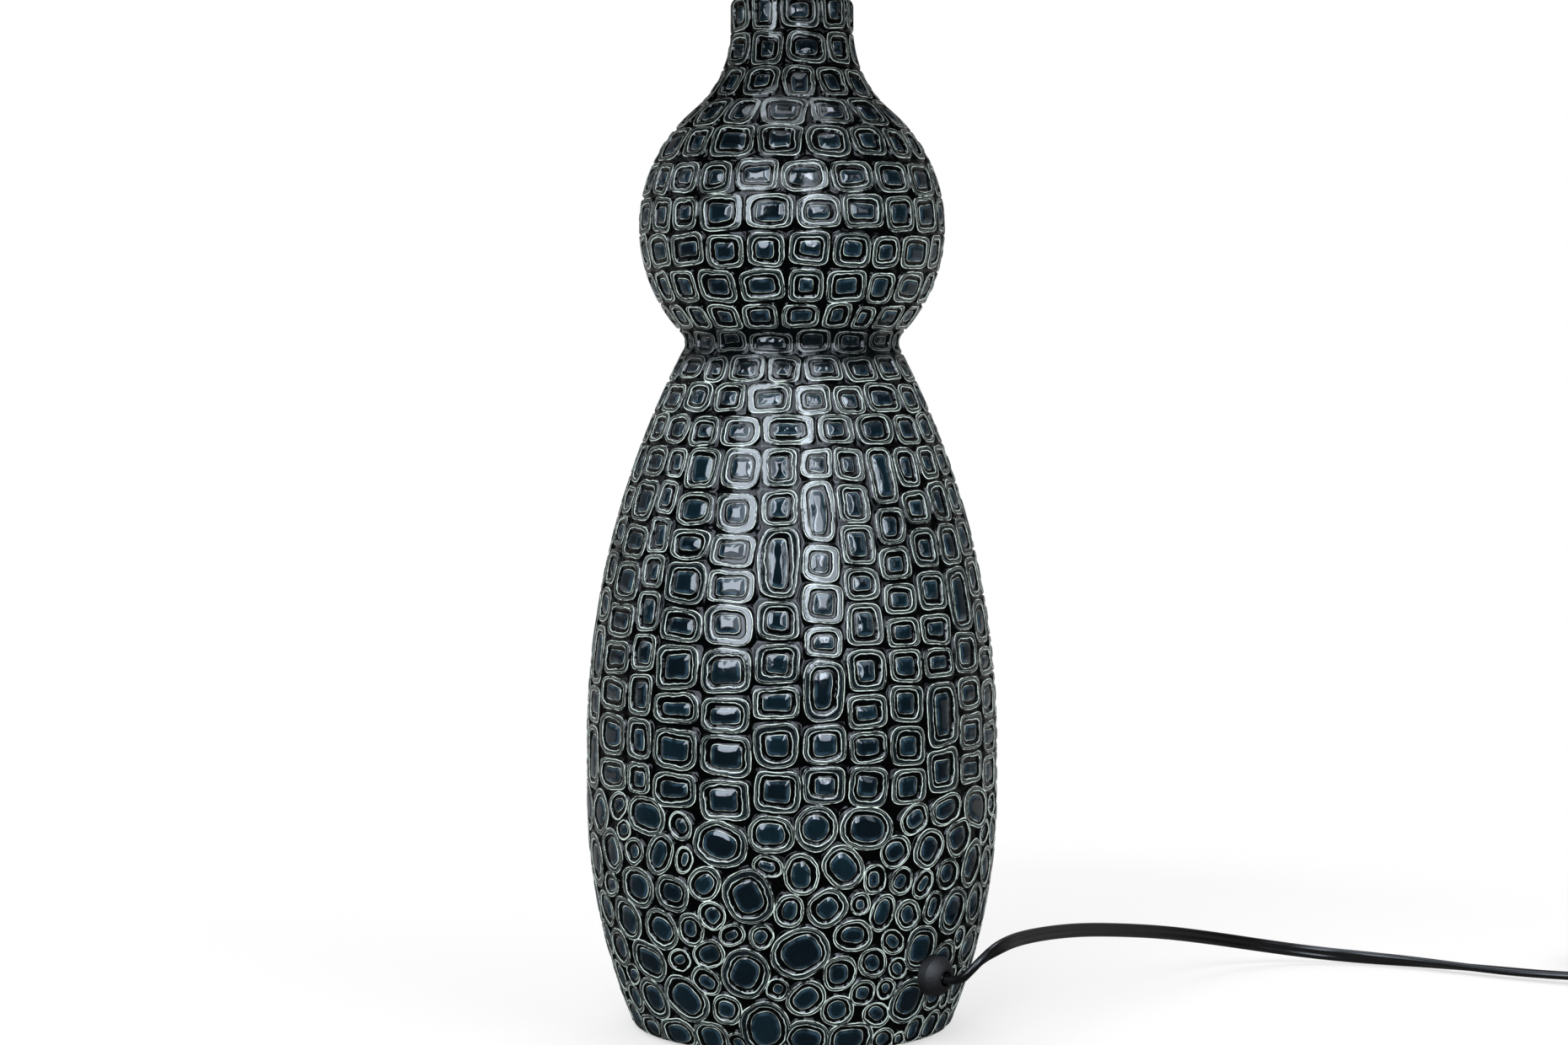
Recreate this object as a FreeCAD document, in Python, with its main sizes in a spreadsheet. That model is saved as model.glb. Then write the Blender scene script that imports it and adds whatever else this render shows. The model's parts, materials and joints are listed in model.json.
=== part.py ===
"""Table lamp with a glazed ceramic gourd base, harp, fabric shade and flat cord.

Millimetres, +Z up. The origin is the middle of the foot, on the table.
The front of the lamp is -Y and the cord leaves to the right of it.
"""

import FreeCAD, Part
import Sketcher
import math
import os
import re

Vector = FreeCAD.Vector
Rotation = FreeCAD.Rotation
Placement = FreeCAD.Placement

# Driving sizes, in millimetres and degrees, by the piece that carries them.
SIZES = {
    # Clearances
    "fixed_gap": 0.1,
    "moving_gap": 0.3,
    "overrun": 2.0,
    # Ceramic body, heights from its own foot
    "rim_round": 4.5,
    "neck_radius": 26.2,
    "neck_length": 8.9,
    "neck_fillet": 45.0,
    "bulge_radius": 65.2,
    "bulge_height": 341.0,
    "waist_fillet": 6.0,
    "shoulder_arc": 362.0,
    "belly_radius": 88.0,
    "belly_top": 121.0,
    "belly_bottom": 99.0,
    "foot_arc": 254.5,
    "foot_round": 4.0,
    "ceramic_wall": 7.0,
    "foot_wall": 9.0,
    "ceramic_floor": 6.0,
    "foot_depth": 50.0,
    # Felt pad and base cover
    "felt_thickness": 1.6,
    "felt_proud": 0.8,
    "felt_inset": 0.6,
    "cover_thickness": 2.5,
    "rebate_radius": 62.0,
    "vent_radius": 5.0,
    "cord_hole_reach": 18.0,
    # Threaded rod and the fasteners under the ceramic floor
    "rod_radius": 4.8,
    "rod_bore": 3.5,
    "rod_chamfer": 0.6,
    "rod_tail": 3.0,
    "rod_clear": 0.4,
    "washer_radius": 19.0,
    "washer_thickness": 1.6,
    "lock_radius": 8.2,
    "lock_thickness": 1.2,
    "lock_teeth": 12,
    "nut_flats": 14.3,
    "nut_height": 4.8,
    # Neck fittings above the rim
    "gasket_thickness": 1.5,
    "cap_radius": 21.5,
    "cap_wall": 0.9,
    "cap_skirt": 1.6,
    "cap_height": 8.5,
    "cap_land": 9.5,
    "cap_dome": 19.0,
    "tube_radius": 8.0,
    "tube_height": 14.0,
    "tube_bead": 1.0,
    "ring_radius": 11.0,
    "ring_thickness": 2.2,
    "saddle_nut_height": 4.0,
    # Harp saddle
    "saddle_width": 12.0,
    "saddle_strip": 1.6,
    "saddle_reach": 30.0,
    "saddle_bend": 4.0,
    "saddle_arm": 16.0,
    "tongue_width": 5.0,
    "tongue_length": 12.0,
    # Harp
    "harp_height": 229.0,
    "harp_half_width": 56.0,
    "harp_wire": 1.9,
    "foot_radius": 3.7,
    "foot_head": 3.0,
    "slot_clear": 0.3,
    "ferrule_wall": 0.9,
    "ferrule_length": 14.0,
    "ferrule_round": 0.5,
    "crown_radius": 7.5,
    "crown_height": 6.0,
    "stud_radius": 3.1,
    "stud_length": 15.0,
    # Lampholder
    "socket_radius": 16.5,
    "socket_wall": 0.8,
    "hub_radius": 7.5,
    "hub_height": 6.0,
    "cap_cone": 12.5,
    "socket_cap_height": 18.0,
    "shell_bead": 0.8,
    "shell_height": 58.0,
    "shell_nest": 5.0,
    "liner_wall": 0.6,
    "core_radius": 12.0,
    "core_bottom": 11.0,
    "core_top": 29.0,
    "screw_level": 15.0,
    "screw_shank": 1.5,
    "screw_head": 2.9,
    "screw_head_height": 1.0,
    "screw_depth": 4.0,
    "set_screw_radius": 1.4,
    "contact_radius": 4.0,
    "contact_thickness": 0.8,
    "stem_level": 22.0,
    "stem_radius": 1.6,
    "stem_depth": 7.0,
    "stem_hole": 2.3,
    "knob_radius": 5.5,
    "knob_length": 11.0,
    "knob_round": 1.2,
    "knob_waist": 3.4,
    "knob_neck": 4.0,
    "knob_clear": 2.0,
    "knob_flutes": 16,
    # Screw shell and bulb
    "thread_crest": 13.1,
    "thread_root": 12.4,
    "thread_pitch": 3.6,
    "shell_metal": 0.3,
    "shell_lip": 2.2,
    "bulb_radius": 30.0,
    "bulb_neck_arc": 52.0,
    "glass_wall": 1.0,
    "glass_neck": 11.2,
    "glass_straight": 3.3,
    "bulb_collar": 0.9,
    "tip_radius": 4.8,
    "tip_height": 2.4,
    "insulator_radius": 8.5,
    "base_taper": 3.2,
    # Shade
    "shade_bottom_radius": 190.0,
    "shade_top_radius": 140.0,
    "shade_height": 245.0,
    "shade_wall": 1.2,
    "shade_wire": 1.4,
    "spider_drop": 16.0,
    "spider_arms": 3,
    "spider_first_arm": 90.0,
    "spider_washer": 14.0,
    "spider_plate": 1.6,
    "finial_radius": 8.0,
    "finial_height": 27.0,
    "finial_foot": 7.0,
    "finial_collar": 3.0,
    "finial_neck": 4.6,
    "finial_tip": 1.2,
    # Cord bushing, its axis leaning down from square to the wall
    "exit_azimuth": -43.0,
    "exit_height": 30.4,
    "exit_lean": 5.0,
    "bushing_barrel": 6.3,
    "bushing_depth": 14.0,
    "bushing_head": 8.5,
    "bushing_side": 4.0,
    "bushing_dome": 4.5,
    "bushing_dome_arc": 8.0,
    "bushing_land": 4.2,
    # Flat cord, its coil, tie and plug
    "cord_width": 6.2,
    "coil_x": 414.0,
    "coil_y": 120.0,
    "coil_gap": 0.7,
    "coil_start_radius": 40.0,
    "coil_layer_half_turns": 5,
    "coil_lift": 1.4,
    "tie_width": 9.0,
    "tie_wall": 1.0,
    "tie_clear": 0.35,
    "plug_relief": 20.0,
    "plug_relief_tip": 4.4,
    "plug_relief_root": 6.0,
    "plug_body": 27.0,
    "plug_half_width": 12.5,
    "plug_half_height": 8.0,
    "plug_corner": 3.0,
    "plug_nose": 4.0,
    "blade_spacing": 12.7,
    "blade_narrow": 6.35,
    "blade_wide": 7.94,
    "blade_thickness": 1.5,
    "blade_length": 17.5,
    "blade_root": 6.0,
}

# The free cord from the bushing to its coil, chosen by hand. Its first run follows
# the bushing's axis, and its last run leads straight into the coil.
LEAD_FIRST_RUN = 6.0
LEAD_ROUTE = [
    (72.5, -66.0, 34.0),
    (78.5, -64.5, 40.2),
    (87.0, -54.5, 43.6),
    (96.0, -33.0, 42.8),
    (110.0, -4.0, 40.0),
    (127.0, 29.0, 35.6),
    (148.0, 65.0, 29.2),
    (172.0, 100.0, 22.0),
    (197.0, 126.0, 14.7),
    (222.0, 139.5, 8.8),
    (247.0, 142.5, 4.9),
    (271.0, 138.0, 3.3),
    (293.0, 127.5, 3.2),
    (315.0, 113.5, 3.2),
    (338.0, 98.5, 3.3),
    (360.5, 86.5, 3.9),
    (384.0, 80.0, 4.5),
]

# The tail from the coil's upper end to the plug: steps from the coil's end, and
# the share of the way down to the plug's middle.
TAIL_ROUTE = [
    (0.0, 0.0, 0.0),
    (16.0, 0.0, 0.15),
    (32.0, -9.2, 0.6),
    (41.3, -25.2, 1.0),
    (41.3, -41.2, 1.0),
]

# The cord inside the foot: distance from the lamp's axis and height above the table.
INNER_ROUTE = [
    (42.0, 31.0),
    (27.0, 18.0),
    (13.0, 9.5),
    (2.0, 14.5),
    (0.0, 28.0),
]

# The right half of the harp as shares of its half width and of its height.
HARP_SHARES = [(1.0, 0.50), (1.0, 0.84), (0.58, 1.0)]
HARP_LEG_SHARE = 0.24

# How much of the shorter run beside it each arc of a cord or wire takes.
ARC_SHARE = 0.45

doc = FreeCAD.newDocument("TableLamp")
sheet = doc.addObject("Spreadsheet::Sheet", "Sizes")
for row, (alias, value) in enumerate(SIZES.items(), start=1):
    sheet.set(f"A{row}", alias)
    sheet.set(f"B{row}", str(value))
    sheet.setAlias(f"B{row}", alias)
doc.recompute()

subparts = []

# The ceramic's height from foot to rim: up to the bulge's middle, on to the end of the
# neck's fillet, then the straight neck and the rounded rim.
NECK_RISE = "sqrt((bulge_radius + neck_fillet)^2 - (neck_radius + neck_fillet)^2)"
BODY_HEIGHT = f"bulge_height + {NECK_RISE} + neck_length + rim_round"


def formula(text):
    """The text with every size's name pointing at its cell."""
    return re.sub(r"[a-z_]+", lambda m: "Sizes." + m[0] if m[0] in SIZES else m[0], text)


def size(text):
    """The number that a formula of sizes gives."""
    return float(sheet.evalExpression(formula(text)))


def bind(item, **formulas):
    """Ties properties of an object to formulas of sizes."""
    for name, text in formulas.items():
        item.setExpression(name, formula(text))


def keep(item, label, height="0", turn=0.0):
    """Names a finished sub-part and sets it at its height, turned about the lamp's axis."""
    item.Label = label
    item.Placement = Placement(Vector(0, 0, size(height)), Rotation(Vector(0, 0, 1), turn))
    if height != "0":
        item.setExpression(".Placement.Base.z", formula(height))
    subparts.append(item)
    return item


def new_body(name):
    return doc.addObject("PartDesign::Body", name)


def new_sketch(body, name, role):
    sketch = body.newObject("Sketcher::SketchObject", name)
    plane = next(f for f in body.Origin.OriginFeatures if f.Role == role)
    sketch.AttachmentSupport = [(plane, "")]
    sketch.MapMode = "FlatFace"
    return sketch


def place_point(sketch, geometry, end, across, up):
    """Holds one end of a line or arc at formulas of sizes, measured from the sketch's origin."""
    for kind, text, axis in (("DistanceX", across, -2), ("DistanceY", up, -1)):
        if abs(size(text)) < 1e-9:
            sketch.addConstraint(Sketcher.Constraint("PointOnObject", geometry, end, axis))
        else:
            number = sketch.addConstraint(
                Sketcher.Constraint(kind, -1, 1, geometry, end, size(text))
            )
            sketch.setExpression(f"Constraints[{number}]", formula(text))


def hold_radius(sketch, geometry, text):
    number = sketch.addConstraint(Sketcher.Constraint("Radius", geometry, size(text)))
    sketch.setExpression(f"Constraints[{number}]", formula(text))


def hold_height(sketch, geometry, end, text):
    number = sketch.addConstraint(
        Sketcher.Constraint("DistanceY", -1, 1, geometry, end, size(text))
    )
    sketch.setExpression(f"Constraints[{number}]", formula(text))


def arc_between(start, end, radius, side):
    """The arc from start to end whose centre lies on the left (side 1) or on the right (side -1)."""
    middle = (start + end) / 2
    half = (end - start) / 2
    away = math.sqrt(max(radius**2 - half.Length**2, 0.0))
    left = Vector(-half.y, half.x, 0).normalize()
    return arc_about(middle + left * away * side, start, end, side)


def arc_about(centre, start, end, side):
    circle = Part.Circle(centre, Vector(0, 0, 1), (start - centre).Length)
    first, last = (start, end) if side > 0 else (end, start)
    angles = [math.atan2((p - centre).y, (p - centre).x) for p in (first, last)]
    return Part.ArcOfCircle(circle, angles[0], angles[1])


def outline(sketch, corners):
    """A closed outline. A corner is (across, up), or (across, up, radius, side) before an arc."""
    points = [Vector(size(c[0]), size(c[1]), 0) for c in corners]
    ends = []
    for corner, start, end in zip(corners, points, points[1:] + points[:1]):
        if len(corner) == 2:
            number = sketch.addGeometry(Part.LineSegment(start, end))
            ends.append((number, 1, 2))
        else:
            arc = arc_between(start, end, size(corner[2]), corner[3])
            number = sketch.addGeometry(arc)
            hold_radius(sketch, number, corner[2])
            ends.append((number, 1, 2) if corner[3] > 0 else (number, 2, 1))
    for corner, this, last in zip(corners, ends, ends[-1:] + ends[:-1]):
        sketch.addConstraint(Sketcher.Constraint("Coincident", last[0], last[2], this[0], this[1]))
        place_point(sketch, this[0], this[1], corner[0], corner[1])


def revolve(body, name, corners, cut=False):
    """A turned feature of a body: its outline across and up, taken once round the axis."""
    sketch = new_sketch(body, name + "_outline", "XZ_Plane")
    outline(sketch, corners)
    return revolve_sketch(body, name, sketch, cut)


def revolve_sketch(body, name, sketch, cut=False):
    kind = "PartDesign::Groove" if cut else "PartDesign::Revolution"
    feature = body.newObject(kind, name)
    feature.Profile = sketch
    feature.ReferenceAxis = (sketch, ["V_Axis"])
    feature.Angle = 360
    return feature


def turned(label, corners, height="0", turn=0.0):
    """A sub-part that is turned about its own upright axis."""
    body = new_body(label)
    revolve(body, label + "_turning", corners)
    return keep(body, label, height, turn)


def extrude(body, name, role, corners, length, cut=False, midplane=False, backwards=False):
    sketch = new_sketch(body, name + "_outline", role)
    outline(sketch, corners)
    return extrude_sketch(body, name, sketch, length, cut, midplane, backwards)


def extrude_sketch(body, name, sketch, length, cut=False, midplane=False, backwards=False):
    feature = body.newObject("PartDesign::Pocket" if cut else "PartDesign::Pad", name)
    feature.Profile = sketch
    bind(feature, Length=length)
    if midplane:
        feature.SideType = "Symmetric"
    feature.Reversed = backwards
    return feature


def drill(body, name, role, across, up, radius, length, backwards=True):
    """A round hole square to one of the body's planes, starting at that plane."""
    sketch = new_sketch(body, name + "_circle", role)
    centre = Vector(size(across), size(up), 0)
    sketch.addGeometry(Part.Circle(centre, Vector(0, 0, 1), size(radius)))
    place_point(sketch, 0, 3, across, up)
    hold_radius(sketch, 0, radius)
    return extrude_sketch(body, name, sketch, length, cut=True, backwards=backwards)


def gourd_side(sketch, inset, low_start, top, side_start=0):
    """One side of the gourd from above its foot to the neck's top, moved inwards by inset.

    Returns the numbers of the first arc and of the neck's line.
    """
    belly = size("belly_radius")
    low_centre = Vector(belly - size("foot_arc"), size("belly_bottom"), 0)
    high_centre = Vector(belly - size("shoulder_arc"), size("belly_top"), 0)
    bulge_centre = Vector(0, size("bulge_height"), 0)
    waist = size("waist_fillet")
    bulge = size("bulge_radius")
    waist_centre = meeting(
        high_centre, size("shoulder_arc") + waist, bulge_centre, bulge + waist
    )
    fillet = size("neck_fillet")
    neck = size("neck_radius")
    neck_centre = Vector(neck + fillet, bulge_centre.y + size(NECK_RISE), 0)

    def moved(centre, other, radius):
        """The point at a radius from a centre, towards another point."""
        return centre + (other - centre).normalize() * radius

    into = size(inset)
    points = [
        low_start,
        Vector(belly - into, low_centre.y, 0),
        Vector(belly - into, high_centre.y, 0),
        moved(high_centre, waist_centre, size("shoulder_arc") - into),
        moved(bulge_centre, waist_centre, bulge - into),
        moved(bulge_centre, neck_centre, bulge - into),
        Vector(neck - into, neck_centre.y, 0),
        Vector(neck - into, top, 0),
    ]
    low = sketch.addGeometry(arc_about(low_centre, points[0], points[1], 1))
    side = sketch.addGeometry(Part.LineSegment(points[1], points[2]))
    high = sketch.addGeometry(arc_about(high_centre, points[2], points[3], 1))
    waist_arc = sketch.addGeometry(arc_about(waist_centre, points[3], points[4], -1))
    bulge_arc = sketch.addGeometry(arc_about(bulge_centre, points[4], points[5], 1))
    neck_arc = sketch.addGeometry(arc_about(neck_centre, points[5], points[6], -1))
    line = sketch.addGeometry(Part.LineSegment(points[6], points[7]))
    smooth = [
        (low, 2, side, 1),
        (side, 2, high, 1),
        (high, 2, waist_arc, 2),
        (waist_arc, 1, bulge_arc, 1),
        (bulge_arc, 2, neck_arc, 2),
        (neck_arc, 1, line, 1),
    ]
    for joint in smooth:
        sketch.addConstraint(Sketcher.Constraint("Tangent", *joint))
    sketch.addConstraint(Sketcher.Constraint("Vertical", side))
    sketch.addConstraint(Sketcher.Constraint("Vertical", line))
    place_point(sketch, side, 1, f"belly_radius - {inset}", "belly_bottom")
    hold_height(sketch, side, 2, "belly_top")
    number = sketch.addConstraint(
        Sketcher.Constraint("DistanceX", -1, 1, line, 1, neck - into)
    )
    sketch.setExpression(f"Constraints[{number}]", formula(f"neck_radius - {inset}"))
    place_point(sketch, bulge_arc, 3, "0", "bulge_height")
    hold_radius(sketch, low, f"foot_arc - {inset}")
    hold_radius(sketch, high, f"shoulder_arc - {inset}")
    hold_radius(sketch, waist_arc, f"waist_fillet + {inset}")
    hold_radius(sketch, bulge_arc, f"bulge_radius - {inset}")
    hold_radius(sketch, neck_arc, f"neck_fillet + {inset}")
    return low, line


def meeting(first, first_radius, second, second_radius):
    """The right-hand point where two circles meet."""
    between = second - first
    gap = between.Length
    along = (first_radius**2 - second_radius**2 + gap**2) / (2 * gap)
    aside = math.sqrt(first_radius**2 - along**2)
    unit = between.normalize()
    return first + unit * along + Vector(unit.y, -unit.x, 0) * aside


def wall_radius_at(height, inset):
    """How far the lower wall lies from the axis at a height below the belly."""
    reach = size("foot_arc") - size(inset)
    drop = size("belly_bottom") - height
    return size("belly_radius") - size("foot_arc") + math.sqrt(reach**2 - drop**2)


def ceramic_body():
    """One casting: gourd outside, chamber, floor, open foot, rod hole, cord hole and its flat."""
    body = new_body("gourd")

    sketch = new_sketch(body, "outside", "XZ_Plane")
    corner = size("foot_round")
    low_centre = Vector(size("belly_radius - foot_arc"), size("belly_bottom"), 0)
    spread = math.sqrt((size("foot_arc") - corner) ** 2 - (low_centre.y - corner) ** 2)
    foot_centre = Vector(low_centre.x + spread, corner, 0)
    touch = low_centre + (foot_centre - low_centre).normalize() * size("foot_arc")
    rim = size("rim_round")
    top = size(BODY_HEIGHT)
    neck = size("neck_radius")
    low, line = gourd_side(sketch, "0", touch, top - rim)
    foot_start = Vector(foot_centre.x, 0, 0)
    foot_line = sketch.addGeometry(Part.LineSegment(Vector(0, 0, 0), foot_start))
    foot_arc = sketch.addGeometry(arc_about(foot_centre, foot_start, touch, 1))
    rim_centre = Vector(neck - rim, top - rim, 0)
    rim_end = Vector(neck - rim, top, 0)
    rim_arc = sketch.addGeometry(arc_about(rim_centre, Vector(neck, top - rim, 0), rim_end, 1))
    top_line = sketch.addGeometry(Part.LineSegment(rim_end, Vector(0, top, 0)))
    axis_line = sketch.addGeometry(Part.LineSegment(Vector(0, top, 0), Vector(0, 0, 0)))
    for joint in (
        (foot_line, 2, foot_arc, 1),
        (foot_arc, 2, low, 1),
        (line, 2, rim_arc, 1),
        (rim_arc, 2, top_line, 1),
    ):
        sketch.addConstraint(Sketcher.Constraint("Tangent", *joint))
    place_point(sketch, foot_line, 1, "0", "0")
    sketch.addConstraint(Sketcher.Constraint("Horizontal", foot_line))
    sketch.addConstraint(Sketcher.Constraint("Coincident", top_line, 2, axis_line, 1))
    sketch.addConstraint(Sketcher.Constraint("Coincident", axis_line, 2, foot_line, 1))
    place_point(sketch, top_line, 2, "0", BODY_HEIGHT)
    sketch.addConstraint(Sketcher.Constraint("Horizontal", top_line))
    hold_radius(sketch, foot_arc, "foot_round")
    hold_radius(sketch, rim_arc, "rim_round")
    revolve_sketch(body, "gourd_outside", sketch)

    sketch = new_sketch(body, "chamber", "XZ_Plane")
    floor_top = size("foot_depth + ceramic_floor")
    start = Vector(wall_radius_at(floor_top, "ceramic_wall"), floor_top, 0)
    open_top = size(BODY_HEIGHT + " + overrun")
    low, line = gourd_side(sketch, "ceramic_wall", start, open_top)
    inner_neck = size("neck_radius - ceramic_wall")
    lid = sketch.addGeometry(
        Part.LineSegment(Vector(inner_neck, open_top, 0), Vector(0, open_top, 0))
    )
    middle = sketch.addGeometry(
        Part.LineSegment(Vector(0, open_top, 0), Vector(0, floor_top, 0))
    )
    floor = sketch.addGeometry(Part.LineSegment(Vector(0, floor_top, 0), start))
    for joint in ((line, 2, lid, 1), (lid, 2, middle, 1), (middle, 2, floor, 1), (floor, 2, low, 1)):
        sketch.addConstraint(Sketcher.Constraint("Coincident", *joint))
    place_point(sketch, lid, 2, "0", BODY_HEIGHT + " + overrun")
    sketch.addConstraint(Sketcher.Constraint("Horizontal", lid))
    place_point(sketch, floor, 1, "0", "foot_depth + ceramic_floor")
    sketch.addConstraint(Sketcher.Constraint("Horizontal", floor))
    revolve_sketch(body, "gourd_chamber", sketch, cut=True)

    rebate = "felt_thickness - felt_proud + cover_thickness"
    low_reach = "belly_radius - foot_arc + sqrt((foot_arc - foot_wall)^2 - (belly_bottom - ({0}))^2)"
    corners = [
        ("0", "-overrun"),
        ("rebate_radius", "-overrun"),
        ("rebate_radius", rebate),
        (low_reach.format(rebate), rebate, "foot_arc - foot_wall", 1),
        (low_reach.format("foot_depth"), "foot_depth"),
        ("0", "foot_depth"),
    ]
    revolve(body, "gourd_foot", corners, cut=True)

    rod_hole = "rod_radius + rod_clear"
    corners = [
        ("0", "foot_depth - overrun"),
        (rod_hole, "foot_depth - overrun"),
        (rod_hole, "foot_depth + ceramic_floor + overrun"),
        ("0", "foot_depth + ceramic_floor + overrun"),
    ]
    revolve(body, "gourd_rod_hole", corners, cut=True)

    cutter = doc.addObject("Part::Cylinder", "cord_hole_cutter")
    bind(cutter, Radius="bushing_barrel + fixed_gap", Height="cord_hole_reach * 2")
    start = Placement(Vector(0, 0, -size("cord_hole_reach")), Rotation())
    cutter.Placement = exit_frame_in_body().multiply(start)
    flat = doc.addObject("Part::Cylinder", "bushing_flat_cutter")
    bind(flat, Radius="bushing_head + moving_gap", Height="cord_hole_reach")
    flat.Placement = exit_frame_in_body()
    drilled = doc.addObject("Part::Cut", "gourd_drilled")
    drilled.Base = body
    drilled.Tool = cutter
    finished = doc.addObject("Part::Cut", "ceramic_body")
    finished.Base = drilled
    finished.Tool = flat
    return keep(finished, "ceramic_body", "felt_proud")


def exit_frame_in_body():
    """Where the bushing's axis leaves the wall, with its own +Z outwards, from the ceramic's foot."""
    height = size("exit_height")
    radius = wall_radius_at(height, "0")
    azimuth = math.radians(size("exit_azimuth"))
    lean = math.radians(size("exit_lean"))
    level = Vector(math.cos(azimuth), math.sin(azimuth), 0)
    outwards = level * math.cos(lean) - Vector(0, 0, math.sin(lean))
    return Placement(level * radius + Vector(0, 0, height), Rotation(Vector(0, 0, 1), outwards))


def exit_frame():
    """The same place above the table."""
    return Placement(Vector(0, 0, size("felt_proud")), Rotation()).multiply(exit_frame_in_body())


def hex_nut(label, nut_height, height):
    outside = doc.addObject("Part::Prism", label + "_hexagon")
    outside.Polygon = 6
    bind(outside, Circumradius="nut_flats / sqrt(3)", Height=nut_height)
    bore = doc.addObject("Part::Cylinder", label + "_bore")
    bind(bore, Radius="rod_radius + fixed_gap", Height=nut_height)
    corners = doc.addObject("Part::Cone", label + "_corners")
    bind(
        corners,
        Radius1="nut_flats / sqrt(3) + rod_chamfer",
        Radius2="nut_flats / 2",
        Height=nut_height,
    )
    eased = doc.addObject("Part::Common", label + "_eased")
    eased.Base = outside
    eased.Tool = corners
    nut = doc.addObject("Part::Cut", label)
    nut.Base = eased
    nut.Tool = bore
    return keep(nut, label, height)


def ring(label, inner, outer, thickness, height):
    return turned(label, [(inner, "0"), (outer, "0"), (outer, thickness), (inner, thickness)], height)


# Heights above the table, each from the piece below it.
COVER_SEAT = "felt_thickness"
FLOOR_UNDER = "felt_proud + foot_depth"
WASHER_SEAT = FLOOR_UNDER + " - washer_thickness"
LOCK_SEAT = WASHER_SEAT + " - lock_thickness"
NUT_SEAT = LOCK_SEAT + " - nut_height"
ROD_SEAT = NUT_SEAT + " - rod_tail"
RIM = "felt_proud + " + BODY_HEIGHT
CAP_SEAT = RIM + " + gasket_thickness"
TUBE_SEAT = CAP_SEAT + " + cap_height"
RING_SEAT = TUBE_SEAT + " + tube_height"
SADDLE_SEAT = RING_SEAT + " + ring_thickness"
SADDLE_NUT_SEAT = SADDLE_SEAT + " + saddle_strip"
SOCKET_SEAT = SADDLE_NUT_SEAT + " + saddle_nut_height"
SHOULDER = SADDLE_SEAT + " + saddle_arm"
HARP_SEAT = SHOULDER + " + moving_gap"
HARP_TOP = SADDLE_SEAT + " + harp_height"
CROWN_SEAT = HARP_TOP + " - crown_height / 2"
SPIDER_SEAT = HARP_TOP + " + crown_height / 2 + moving_gap"
FINIAL_SEAT = SPIDER_SEAT + " + spider_plate + moving_gap"
SHADE_TOP = SPIDER_SEAT + " + spider_plate + spider_drop"
SHADE_SEAT = SHADE_TOP + " - shade_height"


def base_pieces():
    radius = "rebate_radius - felt_inset"
    ring("felt_pad", "vent_radius", radius, "felt_thickness", "0")
    ring("base_cover", "vent_radius", "rebate_radius - moving_gap", "cover_thickness", COVER_SEAT)
    hole = "rod_radius + rod_clear"
    ring("base_washer", hole, "washer_radius", "washer_thickness", WASHER_SEAT)
    lock_washer()
    hex_nut("base_nut", "nut_height", NUT_SEAT)
    length = f"({SOCKET_SEAT} + hub_height - fixed_gap) - ({ROD_SEAT})"
    corners = [
        ("rod_bore", "0"),
        ("rod_radius - rod_chamfer", "0"),
        ("rod_radius", "rod_chamfer"),
        ("rod_radius", f"{length} - rod_chamfer"),
        ("rod_radius - rod_chamfer", length),
        ("rod_bore", length),
    ]
    turned("threaded_rod", corners, ROD_SEAT)


def lock_washer():
    """A flat ring whose rim is cut into teeth by one notch that is repeated round it."""
    body = new_body("base_lock_washer")
    inner = "rod_radius + fixed_gap"
    corners = [
        (inner, "0"),
        ("lock_radius", "0"),
        ("lock_radius", "lock_thickness"),
        (inner, "lock_thickness"),
    ]
    revolve(body, "lock_ring", corners)
    notch = [
        ("lock_radius - lock_thickness", "-lock_thickness / 2"),
        ("lock_radius + overrun", "-lock_thickness / 2"),
        ("lock_radius + overrun", "lock_thickness / 2"),
        ("lock_radius - lock_thickness", "lock_thickness / 2"),
    ]
    cut = extrude(body, "lock_notch", "XY_Plane", notch, "lock_thickness", cut=True, backwards=True)
    pattern = body.newObject("PartDesign::PolarPattern", "lock_notches")
    pattern.Originals = [cut]
    pattern.Axis = (cut.Profile[0], ["N_Axis"])
    pattern.Angle = 360
    bind(pattern, Occurrences="lock_teeth")
    body.Tip = pattern
    keep(body, "base_lock_washer", LOCK_SEAT)


def neck_pieces():
    ring("neck_gasket", "rod_radius + rod_clear", "cap_radius + fixed_gap", "gasket_thickness", RIM)
    inner = "rod_radius + fixed_gap"
    corners = [
        ("cap_radius - cap_wall", "0"),
        ("cap_radius", "0"),
        ("cap_radius", "cap_skirt", "cap_dome", 1),
        ("cap_land", "cap_height"),
        (inner, "cap_height"),
        (inner, "cap_height - cap_wall"),
        ("cap_land - cap_wall / 2", "cap_height - cap_wall", "cap_dome - cap_wall", -1),
        ("cap_radius - cap_wall", "cap_skirt"),
    ]
    turned("vase_cap", corners, CAP_SEAT)
    corners = [
        (inner, "0"),
        ("tube_radius + tube_bead", "0"),
        ("tube_radius", "tube_bead * 2"),
        ("tube_radius", "tube_height - tube_bead * 2"),
        ("tube_radius + tube_bead", "tube_height"),
        (inner, "tube_height"),
    ]
    turned("neck_tube", corners, TUBE_SEAT)
    corners = [
        (inner, "0"),
        ("ring_radius - ring_thickness / 2", "0", "ring_thickness / 2", 1),
        ("ring_radius", "ring_thickness / 2", "ring_thickness / 2", 1),
        ("ring_radius - ring_thickness / 2", "ring_thickness"),
        (inner, "ring_thickness"),
    ]
    turned("check_ring", corners, RING_SEAT)
    hex_nut("saddle_nut", "saddle_nut_height", SADDLE_NUT_SEAT)


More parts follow.
